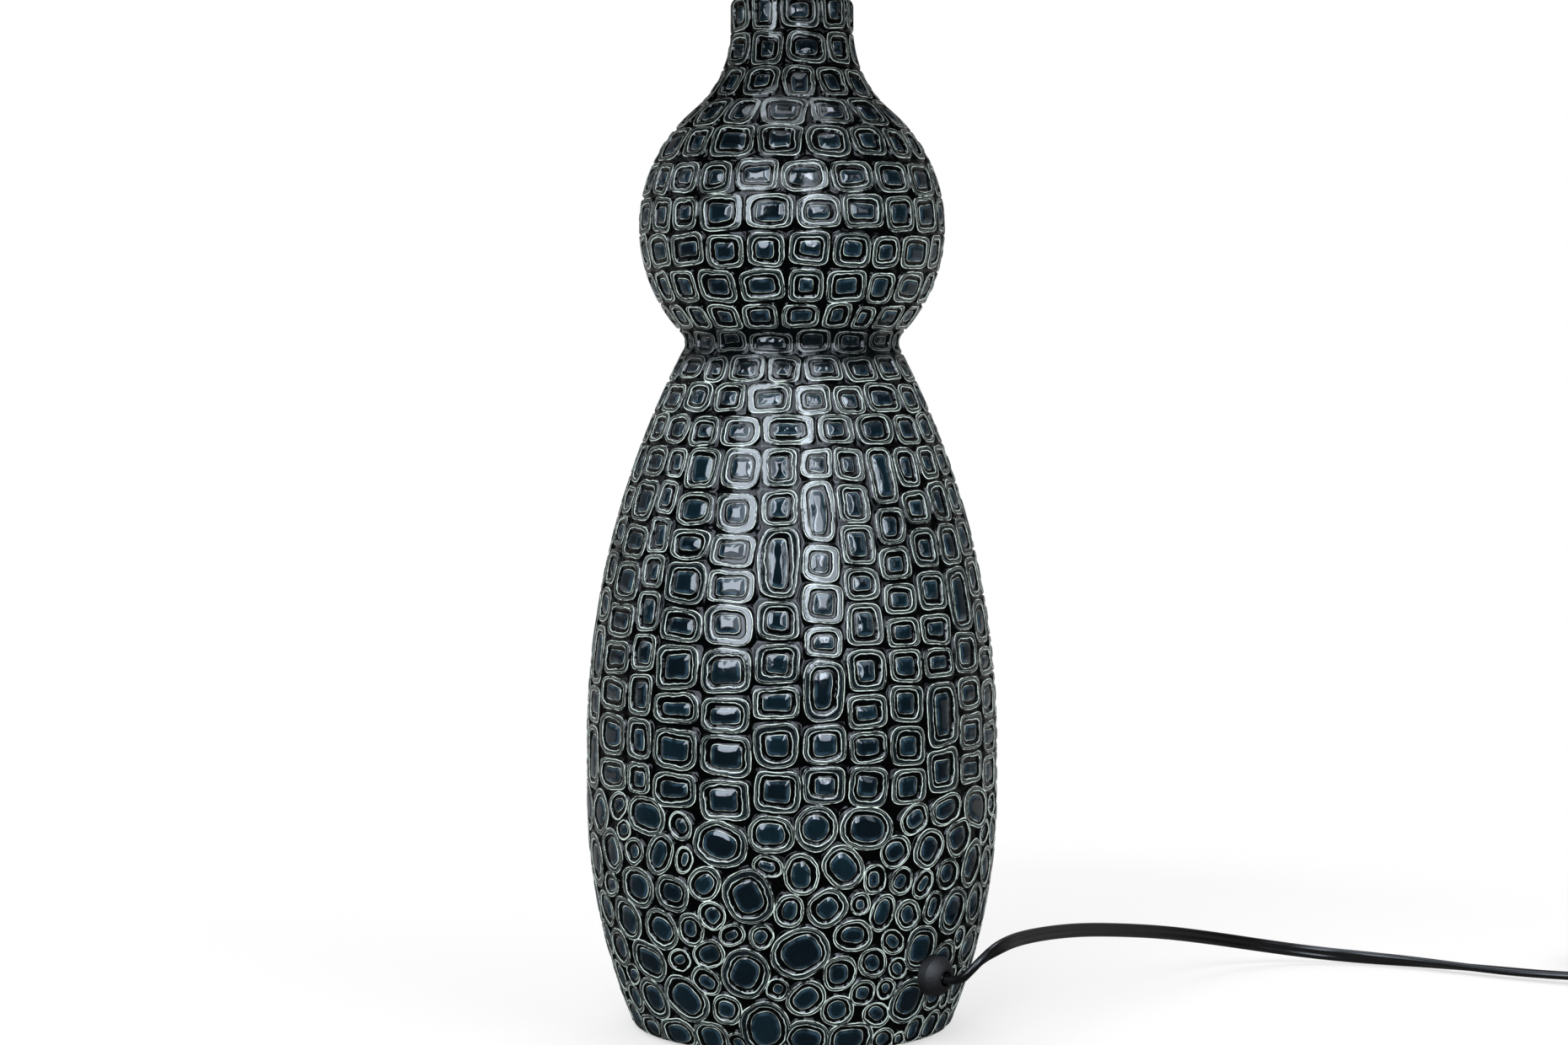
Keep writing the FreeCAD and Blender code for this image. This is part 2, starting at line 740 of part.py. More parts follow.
def harp_saddle():
    """A strip bent up at both ends, with a narrower tongue on each for the harp's feet."""
    body = new_body("harp_saddle")
    inside = "saddle_reach - saddle_strip"
    bend = "saddle_bend"
    inner_bend = "saddle_bend - saddle_strip"
    corners = [
        (f"saddle_reach - {bend}", "0", bend, 1),
        ("saddle_reach", bend),
        ("saddle_reach", "saddle_arm"),
        (inside, "saddle_arm"),
        (inside, bend, inner_bend, -1),
        (f"saddle_reach - {bend}", "saddle_strip"),
        (f"-(saddle_reach - {bend})", "saddle_strip", inner_bend, -1),
        (f"-({inside})", bend),
        (f"-({inside})", "saddle_arm"),
        ("-saddle_reach", "saddle_arm"),
        ("-saddle_reach", bend, bend, 1),
        (f"-(saddle_reach - {bend})", "0"),
    ]
    extrude(body, "saddle_strip_pad", "XZ_Plane", corners, "saddle_width", midplane=True)
    for side, sign in (("right", ""), ("left", "-")):
        tongue = [
            (f"{sign}({inside})", "saddle_arm - saddle_strip"),
            (f"{sign}saddle_reach", "saddle_arm - saddle_strip"),
            (f"{sign}saddle_reach", "saddle_arm + tongue_length"),
            (f"{sign}({inside})", "saddle_arm + tongue_length"),
        ]
        extrude(body, f"{side}_tongue", "XZ_Plane", tongue, "tongue_width", midplane=True)
    drill(body, "saddle_hole", "XY_Plane", "0", "0", "rod_radius + fixed_gap", "saddle_bend")
    keep(body, "harp_saddle", SADDLE_SEAT)


def tongue_middle():
    return "saddle_reach - saddle_strip / 2"


def harp_pieces():
    """The harp's wire, its slotted feet, the sleeves that lock them and the crown with its stud."""
    depth = "tongue_length + slot_clear"
    for side, sign in (("right", 1), ("left", -1)):
        foot = new_body(f"harp_foot_{side}")
        corners = [
            ("0", "0"),
            ("foot_radius", "0"),
            ("foot_radius", f"{depth} + foot_head"),
            ("0", f"{depth} + foot_head"),
        ]
        revolve(foot, f"foot_turning_{side}", corners)
        half = "saddle_strip / 2 + slot_clear"
        across = "tongue_width / 2 + slot_clear"
        slot = [
            (f"-({half})", f"-({across})"),
            (half, f"-({across})"),
            (half, across),
            (f"-({half})", across),
        ]
        extrude(foot, f"foot_slot_{side}", "XY_Plane", slot, depth, cut=True, backwards=True)
        keep(foot, f"harp_foot_{side}", HARP_SEAT)
        shift_across(foot, sign, tongue_middle())

        inner = "foot_radius + moving_gap"
        outer = f"{inner} + ferrule_wall"
        corners = [
            (inner, "0"),
            (f"{outer} - ferrule_round", "0"),
            (outer, "ferrule_round"),
            (outer, "ferrule_length - ferrule_round"),
            (f"{outer} - ferrule_round", "ferrule_length"),
            (inner, "ferrule_length"),
        ]
        ferrule = turned(f"ferrule_{side}", corners, HARP_SEAT)
        shift_across(ferrule, sign, tongue_middle())

    leg = size(tongue_middle())
    start = size(f"{HARP_SEAT} + {depth} + foot_head")
    rise = size(HARP_TOP) - start
    half_width = size("harp_half_width")
    right = [Vector(leg, 0, start), Vector(leg, 0, start + rise * HARP_LEG_SHARE)]
    right += [Vector(half_width * a, 0, start + rise * b) for a, b in HARP_SHARES]
    left = [Vector(-p.x, 0, p.z) for p in reversed(right)]
    wire = doc.addObject("Part::Feature", "harp_wire")
    wire.Shape = tube_along(right + left, size("harp_wire"))
    keep(wire, "harp_wire")

    crown = new_body("harp_stud")
    corners = [
        ("0", "0"),
        ("crown_radius", "0"),
        ("crown_radius", "crown_height"),
        ("stud_radius", "crown_height"),
        ("stud_radius", "crown_height + stud_length - rod_chamfer"),
        ("stud_radius - rod_chamfer", "crown_height + stud_length"),
        ("0", "crown_height + stud_length"),
    ]
    revolve(crown, "stud_turning", corners)
    sketch = new_sketch(crown, "wire_hole_circle", "YZ_Plane")
    radius = "harp_wire + fixed_gap"
    middle = "crown_height / 2"
    sketch.addGeometry(Part.Circle(Vector(0, size(middle), 0), Vector(0, 0, 1), size(radius)))
    place_point(sketch, 0, 3, "0", middle)
    hold_radius(sketch, 0, radius)
    extrude_sketch(crown, "wire_hole", sketch, "crown_radius * 3", cut=True, midplane=True)
    keep(crown, "harp_stud", CROWN_SEAT)


def shift_across(item, sign, text):
    item.Placement.Base = Vector(sign * size(text), 0, item.Placement.Base.z)
    item.setExpression(".Placement.Base.x", formula(f"{sign} * ({text})"))


def rounded_wire(points, share=ARC_SHARE):
    """Straight runs joined by tangent arcs, each as large as its two runs allow."""
    edges = []
    radii = []
    last = points[0]
    for before, corner, after in zip(points, points[1:], points[2:]):
        first = (before - corner).normalize()
        second = (after - corner).normalize()
        reach = share * min((before - corner).Length, (after - corner).Length)
        half_turn = (math.pi - first.getAngle(second)) / 2
        radius = reach / math.tan(half_turn)
        inwards = (first + second).normalize()
        centre = corner + inwards * (radius / math.cos(half_turn))
        start = corner + first * reach
        end = corner + second * reach
        edges.append(Part.LineSegment(last, start).toShape())
        edges.append(Part.Arc(start, centre - inwards * radius, end).toShape())
        radii.append(radius)
        last = end
    edges.append(Part.LineSegment(last, points[-1]).toShape())
    return Part.Wire(edges), radii


def swept(path, radius):
    """A round section carried along a path, as one solid."""
    first = path.Edges[0]
    start = path.Edges[0].valueAt(first.FirstParameter)
    heading = first.tangentAt(first.FirstParameter)
    section = Part.Wire([Part.Circle(start, heading, radius).toShape()])
    shape = path.makePipeShell([section], True, False)
    solid = shape if shape.ShapeType == "Solid" else Part.Solid(shape.Shells[0])
    if solid.Volume < 0:
        solid.reverse()
    wanted = math.pi * radius**2 * path.Length
    print(f"  length {path.Length:.1f}, volume {solid.Volume:.1f}, section x length {wanted:.1f}")
    return solid


def tube_along(points, radius, share=ARC_SHARE):
    path, radii = rounded_wire(points, share)
    print("  radii", [round(r, 1) for r in radii])
    return swept(path, radius)


def socket_pieces():
    """The lampholder, drawn with its switch along +X and turned so that the knob faces the front."""
    front = -90.0
    wall = "socket_wall"
    inner = f"socket_radius - {wall}"
    bore = "rod_radius + fixed_gap"
    cap = new_body("socket_cap")
    corners = [
        (bore, "0"),
        ("hub_radius", "0"),
        ("hub_radius", "hub_height"),
        ("socket_radius", "cap_cone"),
        ("socket_radius", "socket_cap_height"),
        (inner, "socket_cap_height"),
        (inner, f"cap_cone + {wall} / 2"),
        (f"hub_radius - {wall} / 2", f"hub_height + {wall}"),
        (bore, f"hub_height + {wall}"),
    ]
    revolve(cap, "cap_turning", corners)
    screw_hole = "set_screw_radius + fixed_gap"
    drill(cap, "set_screw_hole", "YZ_Plane", "0", "hub_height / 2", screw_hole, "hub_radius * 2")
    keep(cap, "socket_cap", SOCKET_SEAT, front)

    screw = doc.addObject("Part::Cylinder", "set_screw_body")
    bind(screw, Radius="set_screw_radius", Height="hub_radius - rod_radius + set_screw_radius")
    screw.Placement = Placement(
        Vector(size("rod_radius + fixed_gap"), 0, size("hub_height / 2")),
        Rotation(Vector(0, 1, 0), 90),
    )
    socket_slot = doc.addObject("Part::Box", "set_screw_slot")
    bind(socket_slot, Length="set_screw_radius", Width="set_screw_radius * 4", Height="rod_chamfer")
    socket_slot.Placement.Base = Vector(
        size("hub_radius + set_screw_radius * 3 / 4"),
        -size("set_screw_radius * 2"),
        size("hub_height / 2 - rod_chamfer / 2"),
    )
    slotted = doc.addObject("Part::Cut", "set_screw")
    slotted.Base = screw
    slotted.Tool = socket_slot
    keep(slotted, "set_screw", SOCKET_SEAT, front)

    shell = new_body("socket_shell")
    nest = f"{inner} - fixed_gap"
    bead = "socket_radius + shell_bead"
    start = "socket_cap_height - shell_nest"
    corners = [
        (f"{nest} - {wall}", start),
        (nest, start),
        (nest, "socket_cap_height"),
        ("socket_radius", "socket_cap_height", "shell_bead * 2", 1),
        ("socket_radius", "socket_cap_height + shell_bead * 3"),
        ("socket_radius", "shell_height - shell_bead * 3", "shell_bead * 2", 1),
        ("socket_radius", "shell_height"),
        (f"{nest} - {wall}", "shell_height"),
    ]
    revolve(shell, "shell_turning", corners)
    drill(shell, "shell_stem_hole", "YZ_Plane", "0", "stem_level", "stem_hole", f"{bead} * 2")
    keep(shell, "socket_shell", SOCKET_SEAT, front)

    liner_outer = f"{nest} - {wall} - fixed_gap"
    liner_inner = f"{liner_outer} - liner_wall"
    liner = new_body("socket_liner")
    corners = [
        (liner_inner, start),
        (liner_outer, start),
        (liner_outer, "shell_height"),
        (liner_inner, "shell_height"),
    ]
    revolve(liner, "liner_turning", corners)
    drill(liner, "liner_stem_hole", "YZ_Plane", "0", "stem_level", "stem_hole", f"{bead} * 2")
    keep(liner, "socket_liner", SOCKET_SEAT, front)

    core = new_body("socket_core")
    flange = f"{liner_inner} - fixed_gap"
    corners = [
        ("0", "core_bottom"),
        ("core_radius", "core_bottom"),
        ("core_radius", "core_top - shell_lip * 2"),
        (flange, "core_top - shell_lip * 2"),
        (flange, "core_top"),
        ("0", "core_top"),
    ]
    revolve(core, "core_turning", corners)
    sketch = new_sketch(core, "stem_bore_circle", "YZ_Plane")
    bore_radius = "stem_radius + fixed_gap"
    sketch.addGeometry(
        Part.Circle(Vector(0, size("stem_level"), 0), Vector(0, 0, 1), size(bore_radius))
    )
    place_point(sketch, 0, 3, "0", "stem_level")
    hold_radius(sketch, 0, bore_radius)
    extrude_sketch(core, "stem_bore", sketch, "core_radius * 2", cut=True, backwards=True)
    drill_screws(core)
    keep(core, "socket_core", SOCKET_SEAT, front)

    contact = [
        ("0", "0"),
        ("contact_radius", "0"),
        ("contact_radius - contact_thickness / 2", "contact_thickness"),
        ("0", "contact_thickness"),
    ]
    turned("centre_contact", contact, SOCKET_SEAT + " + core_top", front)

    terminal_screws(front)
    screw_shell(flange)
    knob_pieces(front, bead)


def drill_screws(core):
    """Two blind holes across the core, one on each side, for the terminal screws."""
    radius = "screw_shank + fixed_gap"
    for side, sign in (("right", 1), ("left", -1)):
        sketch = new_sketch(core, f"terminal_{side}_circle", "XZ_Plane")
        centre = Vector(0, size("screw_level"), 0)
        sketch.addGeometry(Part.Circle(centre, Vector(0, 0, 1), size(radius)))
        place_point(sketch, 0, 3, "0", "screw_level")
        hold_radius(sketch, 0, radius)
        hole = core.newObject("PartDesign::Pocket", f"terminal_hole_{side}")
        hole.Profile = sketch
        hole.Reversed = sign > 0
        bind(hole, Length="core_radius * 2")


def terminal_screws(front):
    """One pair of screws: a shank in the core and a flat head outside it."""
    pieces = []
    for sign in (1, -1):
        shank = doc.addObject("Part::Cylinder", f"terminal_shank_{sign + 1}")
        bind(shank, Radius="screw_shank", Height="screw_depth")
        head = doc.addObject("Part::Cylinder", f"terminal_head_{sign + 1}")
        bind(head, Radius="screw_head", Height="screw_head_height")
        outwards = Rotation(Vector(0, 0, 1), Vector(0, sign, 0))
        inner_end = size("core_radius - screw_depth")
        level = size("screw_level")
        shank.Placement = Placement(Vector(0, sign * inner_end, level), outwards)
        head.Placement = Placement(Vector(0, sign * size("core_radius"), level), outwards)
        screw = doc.addObject("Part::Fuse", f"terminal_screw_{sign + 1}")
        screw.Base = shank
        screw.Tool = head
        pieces.append(screw)
    pair = doc.addObject("Part::Compound", "terminal_screws")
    pair.Links = pieces
    keep(pair, "terminal_screws", SOCKET_SEAT, front)


# The bulb's thread above its tip, and where the glass sits on the base.
THREAD_TURNS = 5
THREAD_START = "tip_height + base_taper"
GLASS_SEAT = f"({THREAD_START} + thread_pitch * {THREAD_TURNS} + bulb_collar)"


def thread_points(crest, root, start, turns):
    """The zigzag of a thread's section, from one trough to the next."""
    points = [(root, start)]
    for turn in range(turns):
        points.append((crest, f"{start} + thread_pitch * {turn} + thread_pitch / 2"))
        points.append((root, f"{start} + thread_pitch * {turn + 1}"))
    return points


def screw_shell(flange):
    """The pressed shell that the bulb screws into. It stands on the core's top."""
    clear = "moving_gap"
    level = f"contact_thickness + {clear} + {THREAD_START}"
    crest = f"thread_crest + {clear}"
    root = f"thread_root + {clear}"
    inside = thread_points(crest, root, level, THREAD_TURNS)
    outside = thread_points(
        f"{crest} + shell_metal", f"{root} + shell_metal", level, THREAD_TURNS
    )
    corners = [(root, "0")]
    corners += [(f"{root} + shell_metal", "0")]
    corners += outside
    corners += list(reversed(inside))
    turned("screw_shell", corners, SOCKET_SEAT + " + core_top")


def knob_pieces(front, bead):
    reach = f"{bead} + knob_clear"
    stem = doc.addObject("Part::Cylinder", "stem_rod")
    bind(stem, Radius="stem_radius", Height=f"{reach} + knob_length - knob_neck - stem_depth")
    tip = size("stem_depth")
    direction = Rotation(Vector(0, 0, 1), Vector(0, -1, 0))
    level = size(f"{SOCKET_SEAT} + stem_level")
    keep(stem, "knob_stem")
    stem.Placement = Placement(Vector(0, -tip, level), direction)

    knob = new_body("switch_knob")
    bore = "stem_radius + fixed_gap / 2"
    corners = [
        (bore, "0"),
        ("knob_waist", "0"),
        ("knob_waist", "knob_neck / 2"),
        ("knob_radius", "knob_neck"),
        ("knob_radius", "knob_length - knob_round", "knob_round", 1),
        ("knob_radius - knob_round", "knob_length"),
        ("0", "knob_length"),
        ("0", "knob_length - knob_neck"),
        (bore, "knob_length - knob_neck"),
    ]
    revolve(knob, "knob_turning", corners)
    groove = [
        ("knob_radius - knob_round / 2", "-knob_round / 2"),
        ("knob_radius + overrun", "-knob_round / 2"),
        ("knob_radius + overrun", "knob_round / 2"),
        ("knob_radius - knob_round / 2", "knob_round / 2"),
    ]
    flute = extrude(knob, "knob_flute", "XY_Plane", groove, "knob_length", cut=True, backwards=True)
    pattern = knob.newObject("PartDesign::PolarPattern", "knob_flutes")
    pattern.Originals = [flute]
    pattern.Axis = (flute.Profile[0], ["N_Axis"])
    pattern.Angle = 360
    bind(pattern, Occurrences="knob_flutes")
    knob.Tip = pattern
    keep(knob, "switch_knob")
    knob.Placement = Placement(Vector(0, -size(reach), level), direction)


BULB_SEAT = SOCKET_SEAT + " + core_top + contact_thickness + moving_gap"


def bulb_pieces():
    """Measured up from the bulb's tip: end contact, screw base and glass envelope."""
    tip = [
        ("0", "0"),
        ("tip_radius / 2", "0", "tip_radius", 1),
        ("tip_radius", "tip_height"),
        ("0", "tip_height"),
    ]
    turned("bulb_contact", tip, BULB_SEAT)

    corners = [("0", "tip_height"), ("insulator_radius", "tip_height")]
    corners += thread_points("thread_crest", "thread_root", THREAD_START, THREAD_TURNS)
    corners += [("thread_root", GLASS_SEAT), ("0", GLASS_SEAT)]
    turned("bulb_base", corners, BULB_SEAT)

    reach = "bulb_radius + bulb_neck_arc"
    aside = "glass_neck + bulb_neck_arc"
    drop = f"sqrt(({reach})^2 - ({aside})^2)"
    bend_up = f"{GLASS_SEAT} + glass_straight"
    centre = f"({bend_up} + {drop})"
    touch_across = f"({aside}) * bulb_radius / ({reach})"
    touch_up = f"{centre} - {drop} * bulb_radius / ({reach})"
    inside_across = f"({aside}) * (bulb_radius - glass_wall) / ({reach})"
    inside_up = f"{centre} - {drop} * (bulb_radius - glass_wall) / ({reach})"
    corners = [
        ("0", GLASS_SEAT),
        ("glass_neck", GLASS_SEAT),
        ("glass_neck", bend_up, "bulb_neck_arc", -1),
        (touch_across, touch_up, "bulb_radius", 1),
        ("bulb_radius", centre, "bulb_radius", 1),
        ("0", f"{centre} + bulb_radius"),
        ("0", f"{centre} + bulb_radius - glass_wall", "bulb_radius - glass_wall", -1),
        ("bulb_radius - glass_wall", centre, "bulb_radius - glass_wall", -1),
        (inside_across, inside_up, "bulb_neck_arc + glass_wall", 1),
        ("glass_neck - glass_wall", bend_up),
        ("glass_neck - glass_wall", GLASS_SEAT + " + glass_wall"),
        ("0", GLASS_SEAT + " + glass_wall"),
    ]
    turned("bulb_glass", corners, BULB_SEAT)


def shade_pieces():
    """A hardback fabric wall on two wire rings, hung from a three-armed spider."""
    wall = "shade_wall"
    corners = [
        (f"shade_bottom_radius - {wall}", "0"),
        ("shade_bottom_radius", "0"),
        ("shade_top_radius", "shade_height"),
        (f"shade_top_radius - {wall}", "shade_height"),
    ]
    turned("shade_fabric", corners, SHADE_SEAT)

    slope = "(shade_bottom_radius - shade_top_radius) / shade_height"
    lean = f"sqrt(1 + ({slope})^2)"
    for label, radius, level in (
        ("shade_bottom_ring", f"shade_bottom_radius - {slope} * shade_wire", "shade_wire"),
        ("shade_top_ring", f"shade_top_radius + {slope} * shade_wire", "shade_height - shade_wire"),
    ):
        torus = doc.addObject("Part::Torus", label + "_wire")
        middle = f"{radius} - {wall} - shade_wire * {lean} - fixed_gap"
        bind(torus, Radius1=middle, Radius2="shade_wire")
        keep(torus, label, f"{SHADE_SEAT} + {level}")

    spider = doc.addObject("Part::Feature", "shade_spider")
    ring_radius = size(
        f"shade_top_radius + {slope} * shade_wire - {wall} - shade_wire * {lean} - fixed_gap"
    )
    plate = Part.makeCylinder(size("spider_washer"), size("spider_plate"))
    hole = Part.makeCylinder(size("stud_radius + moving_gap"), size("spider_plate"))
    arm_wire = size("spider_plate / 2")
    drop = size("spider_drop - shade_wire + spider_plate / 2")
    start = size("spider_washer - spider_plate")
    end = ring_radius - size("shade_wire") - size("fixed_gap") / 2
    run = size("spider_washer")
    arm = tube_along(
        [
            Vector(start, 0, arm_wire),
            Vector(start + run, 0, arm_wire),
            Vector(start + run * 2, 0, arm_wire + drop),
            Vector(end, 0, arm_wire + drop),
        ],
        arm_wire,
    )
    arms = []
    count = SIZES["spider_arms"]
    for number in range(count):
        copy = arm.copy()
        copy.rotate(Vector(0, 0, 0), Vector(0, 0, 1), size("spider_first_arm") + 360 / count * number)
        arms.append(copy)
    spider.Shape = plate.fuse(arms).cut(hole)
    keep(spider, "shade_spider", SPIDER_SEAT)


def finial():
    bore = "stud_radius + moving_gap / 3"
    depth = f"({CROWN_SEAT} + crown_height + stud_length) - ({FINIAL_SEAT}) + fixed_gap"
    ball = "finial_height - finial_radius"
    corners = [
        (bore, "0"),
        ("finial_foot", "0"),
        ("finial_foot", "finial_collar / 3"),
        ("finial_neck", "finial_collar"),
        ("finial_neck", f"{ball} - finial_radius + finial_tip"),
        ("finial_radius", ball, "finial_radius", 1),
        ("finial_tip", f"{ball} + finial_radius - finial_tip / 4"),
        ("0", f"{ball} + finial_radius - finial_tip / 4"),
        ("0", depth),
        (bore, depth),
    ]
    turned("finial", corners, FINIAL_SEAT)


def exit_face():
    """The outer end of the bushing: where the free cord starts, with +Z along the cord."""
    out = size("bushing_side + bushing_dome")
    return exit_frame().multiply(Placement(Vector(0, 0, out), Rotation()))


def cord_bushing():
    body = new_body("cord_bushing")
    bore = "cord_width / 2 + fixed_gap"
    corners = [
        (bore, "-bushing_depth"),
        ("bushing_barrel - rod_chamfer", "-bushing_depth"),
        ("bushing_barrel", "-bushing_depth + rod_chamfer"),
        ("bushing_barrel", "0"),
        ("bushing_head", "0"),
        ("bushing_head", "bushing_side", "bushing_dome_arc", 1),
        ("bushing_land", "bushing_side + bushing_dome"),
        (bore, "bushing_side + bushing_dome"),
    ]
    revolve(body, "bushing_turning", corners)
    keep(body, "cord_bushing")
    body.Placement = exit_frame()


def inner_lead():
    """The cord inside the lamp: through the bushing, down into the foot and up the hollow rod."""
    frame = exit_face()
    inwards = frame.Rotation.multVec(Vector(0, 0, -1))
    length = size("bushing_side + bushing_dome + bushing_depth + cord_width")
    azimuth = math.radians(size("exit_azimuth"))
    level = Vector(math.cos(azimuth), math.sin(azimuth), 0)
    points = [frame.Base, frame.Base + inwards * length]
    points += [level * reach + Vector(0, 0, height) for reach, height in INNER_ROUTE]
    points.append(Vector(0, 0, size(f"{SOCKET_SEAT} + hub_height + fixed_gap")))
    lead = doc.addObject("Part::Feature", "inner_lead")
    lead.Shape = tube_along(points, size("cord_width / 2"))
    keep(lead, "inner_lead")


def coil_path():
    """One line that spirals in on the lower layer, climbs in a half turn and spirals out above.

    Each turn is half circles about two centres, so neighbours lie one pitch apart all round.
    """
    pitch = size("cord_width + coil_gap")
    lead_in = size("cord_width")
    layer = SIZES["coil_layer_half_turns"]
    radius = size("coil_start_radius")
    height = size("coil_lift + cord_width / 2")
    centre = Vector(size("coil_x"), size("coil_y"), height)
    edges = []
    place = centre + Vector(0, -radius, 0)
    edges.append(Part.LineSegment(place - Vector(lead_in, 0, 0), place).toShape())
    for half_turn in range(2 * layer + 2):
        toward = 1 if half_turn % 2 == 0 else -1
        climb = pitch if half_turn == layer else 0.0
        start = centre + Vector(0, -toward * radius, 0)
        end = centre + Vector(0, toward * radius, climb)
        middle = (start + end) / 2
        ahead = Vector(toward, 0, 0)
        back = (start - middle).normalize()
        reach = (start - middle).Length
        spots = [
            middle + (back * math.cos(a) + ahead * math.sin(a)) * reach
            for a in [math.pi / 4 * step for step in range(5)]
        ]
        edges.append(Part.Arc(spots[0], spots[1], spots[2]).toShape())
        edges.append(Part.Arc(spots[2], spots[3], spots[4]).toShape())
        change = -pitch / 2 if half_turn < layer else pitch / 2
        radius += change
        centre = Vector(centre.x, end.y - toward * radius, end.z)
    edges.append(Part.LineSegment(end, end + Vector(lead_in, 0, 0)).toShape())
    return Part.Wire(edges), end + Vector(lead_in, 0, 0)


def least_gap(path, width):
    """The least gap of a wound tube to itself, measured on points along its middle."""
    points_per_width = 3
    count = int(path.Length / width * points_per_width)
    points = path.discretize(Number=count)
    own_stretch = 3 * points_per_width
    nearest = min(
        (points[i] - points[j]).Length
        for i in range(count)
        for j in range(i + own_stretch, count)
    )
    return nearest - width


def cord_pieces():
    radius = size("cord_width / 2")
    frame = exit_face()
    heading = frame.Rotation.multVec(Vector(0, 0, 1))
    coil_wire, coil_end = coil_path()
    coil_start = coil_wire.Edges[0].valueAt(coil_wire.Edges[0].FirstParameter)
    route = [frame.Base, frame.Base + heading * LEAD_FIRST_RUN]
    route += [Vector(*p) for p in LEAD_ROUTE]
    route.append(coil_start)

    print("cord_lead")
    lead = doc.addObject("Part::Feature", "cord_lead")
    lead.Shape = tube_along(route, radius)
    keep(lead, "cord_lead")

    print("cord_coil")
    coil = doc.addObject("Part::Feature", "cord_coil")
    coil.Shape = swept(coil_wire, radius)
    print(f"  least gap {least_gap(coil_wire, 2 * radius):.2f}")
    keep(coil, "cord_coil")

    print("cord_tail")
    drop = coil_end.z - size("plug_half_height")
    tail_route = [coil_end + Vector(x, y, -drop * share) for x, y, share in TAIL_ROUTE]
    tail = doc.addObject("Part::Feature", "cord_tail")
    tail.Shape = tube_along(tail_route, radius)
    keep(tail, "cord_tail")

    coil_tie()
    plug_pieces(tail_route[-1])


def coil_tie():
    """A strap round the coil's bundle on the side away from the lamp.

    It sits midway between the centres of the lower and of the upper layer's half circles.
    """
    pitch = "(cord_width + coil_gap)"
    clear = "tie_clear"
    layer = SIZES["coil_layer_half_turns"]
    inner = f"coil_start_radius - {pitch} * {layer - 1} / 2 - cord_width / 2 - {pitch} / 4 - {clear}"
    outer = f"coil_start_radius + cord_width / 2 + {clear}"
    low = f"coil_lift - {clear}"
    high = f"coil_lift + cord_width + {pitch} + {clear}"
    corners = [(inner, low), (outer, low), (outer, high), (inner, high)]
    signs = [(-1, -1), (1, -1), (1, 1), (-1, 1)]
    body = new_body("coil_tie")
    outside = [
        (f"{across} + {a} * tie_wall", f"{up} + {b} * tie_wall")
        for (across, up), (a, b) in zip(corners, signs)
    ]
    extrude(body, "tie_outside", "XZ_Plane", outside, "tie_width", midplane=True)
    extrude(body, "tie_inside", "XZ_Plane", corners, "tie_width * 2", cut=True, midplane=True)
    keep(body, "coil_tie")
    body.Placement.Base = Vector(size("coil_x"), size(f"coil_y + {pitch} / 2"), 0)


def plug_pieces(entry):
    """A flat two-blade plug on the table, pointing to the front. Its own +Z runs to the blades."""
    direction = Placement(entry, Rotation(Vector(1, 0, 0), 90))
    body = new_body("plug_body")
    wide = "plug_half_width"
    high = "plug_half_height"
    relief = "plug_relief"
    round_off = "plug_corner"
    corners = [
        (f"{wide} - {round_off}", f"-{high}", round_off, 1),
        (wide, f"-({high} - {round_off})"),
        (wide, f"{high} - {round_off}", round_off, 1),
        (f"{wide} - {round_off}", high),
        (f"-({wide} - {round_off})", high, round_off, 1),
        (f"-{wide}", f"{high} - {round_off}"),
        (f"-{wide}", f"-({high} - {round_off})", round_off, 1),
        (f"-({wide} - {round_off})", f"-{high}"),
    ]
    extrude(body, "plug_block", "XY_Plane", corners, "plug_relief + plug_body")
    neck = [
        ("plug_relief_tip", "-overrun"),
        ("plug_relief_tip", "0"),
        ("plug_relief_root", relief),
        (f"{wide} * 2", f"{relief} + plug_nose"),
        (f"{wide} * 2", "-overrun"),
    ]
    revolve(body, "plug_neck", neck, cut=True)
    for side, sign, blade in (("right", "", "blade_wide"), ("left", "-", "blade_narrow")):
        inner = f"{sign}(blade_spacing / 2 - blade_thickness / 2 - fixed_gap)"
        outer = f"{sign}(blade_spacing / 2 + blade_thickness / 2 + fixed_gap)"
        half = f"{blade} / 2 + fixed_gap"
        slot = [(inner, f"-({half})"), (outer, f"-({half})"), (outer, half), (inner, half)]
        sketch = new_sketch(body, f"blade_slot_{side}_outline", "XY_Plane")
        outline(sketch, slot)
        sketch.AttachmentOffset = Placement(
            Vector(0, 0, size("plug_relief + plug_body - blade_root - fixed_gap")), Rotation()
        )
        extrude_sketch(
            body, f"blade_slot_{side}", sketch, "blade_root + overrun", cut=True, backwards=True
        )
    keep(body, "plug_body")
    body.Placement = direction

    blades = []
    for sign, blade in ((1, "blade_wide"), (-1, "blade_narrow")):
        box = doc.addObject("Part::Box", f"blade_{sign + 1}")
        length = "blade_root + blade_length"
        bind(box, Length="blade_thickness", Width=blade, Height=length)
        box.Placement.Base = Vector(
            size(f"{sign} * blade_spacing / 2 - blade_thickness / 2"),
            -size(blade) / 2,
            size("plug_relief + plug_body - blade_root"),
        )
        blades.append(box)
    pair = doc.addObject("Part::Compound", "plug_blades")
    pair.Links = blades
    keep(pair, "plug_blades")
    pair.Placement = direction


ceramic_body()
base_pieces()
neck_pieces()
harp_saddle()
harp_pieces()
socket_pieces()
bulb_pieces()
shade_pieces()
finial()
cord_bushing()
inner_lead()
cord_pieces()
doc.recompute()

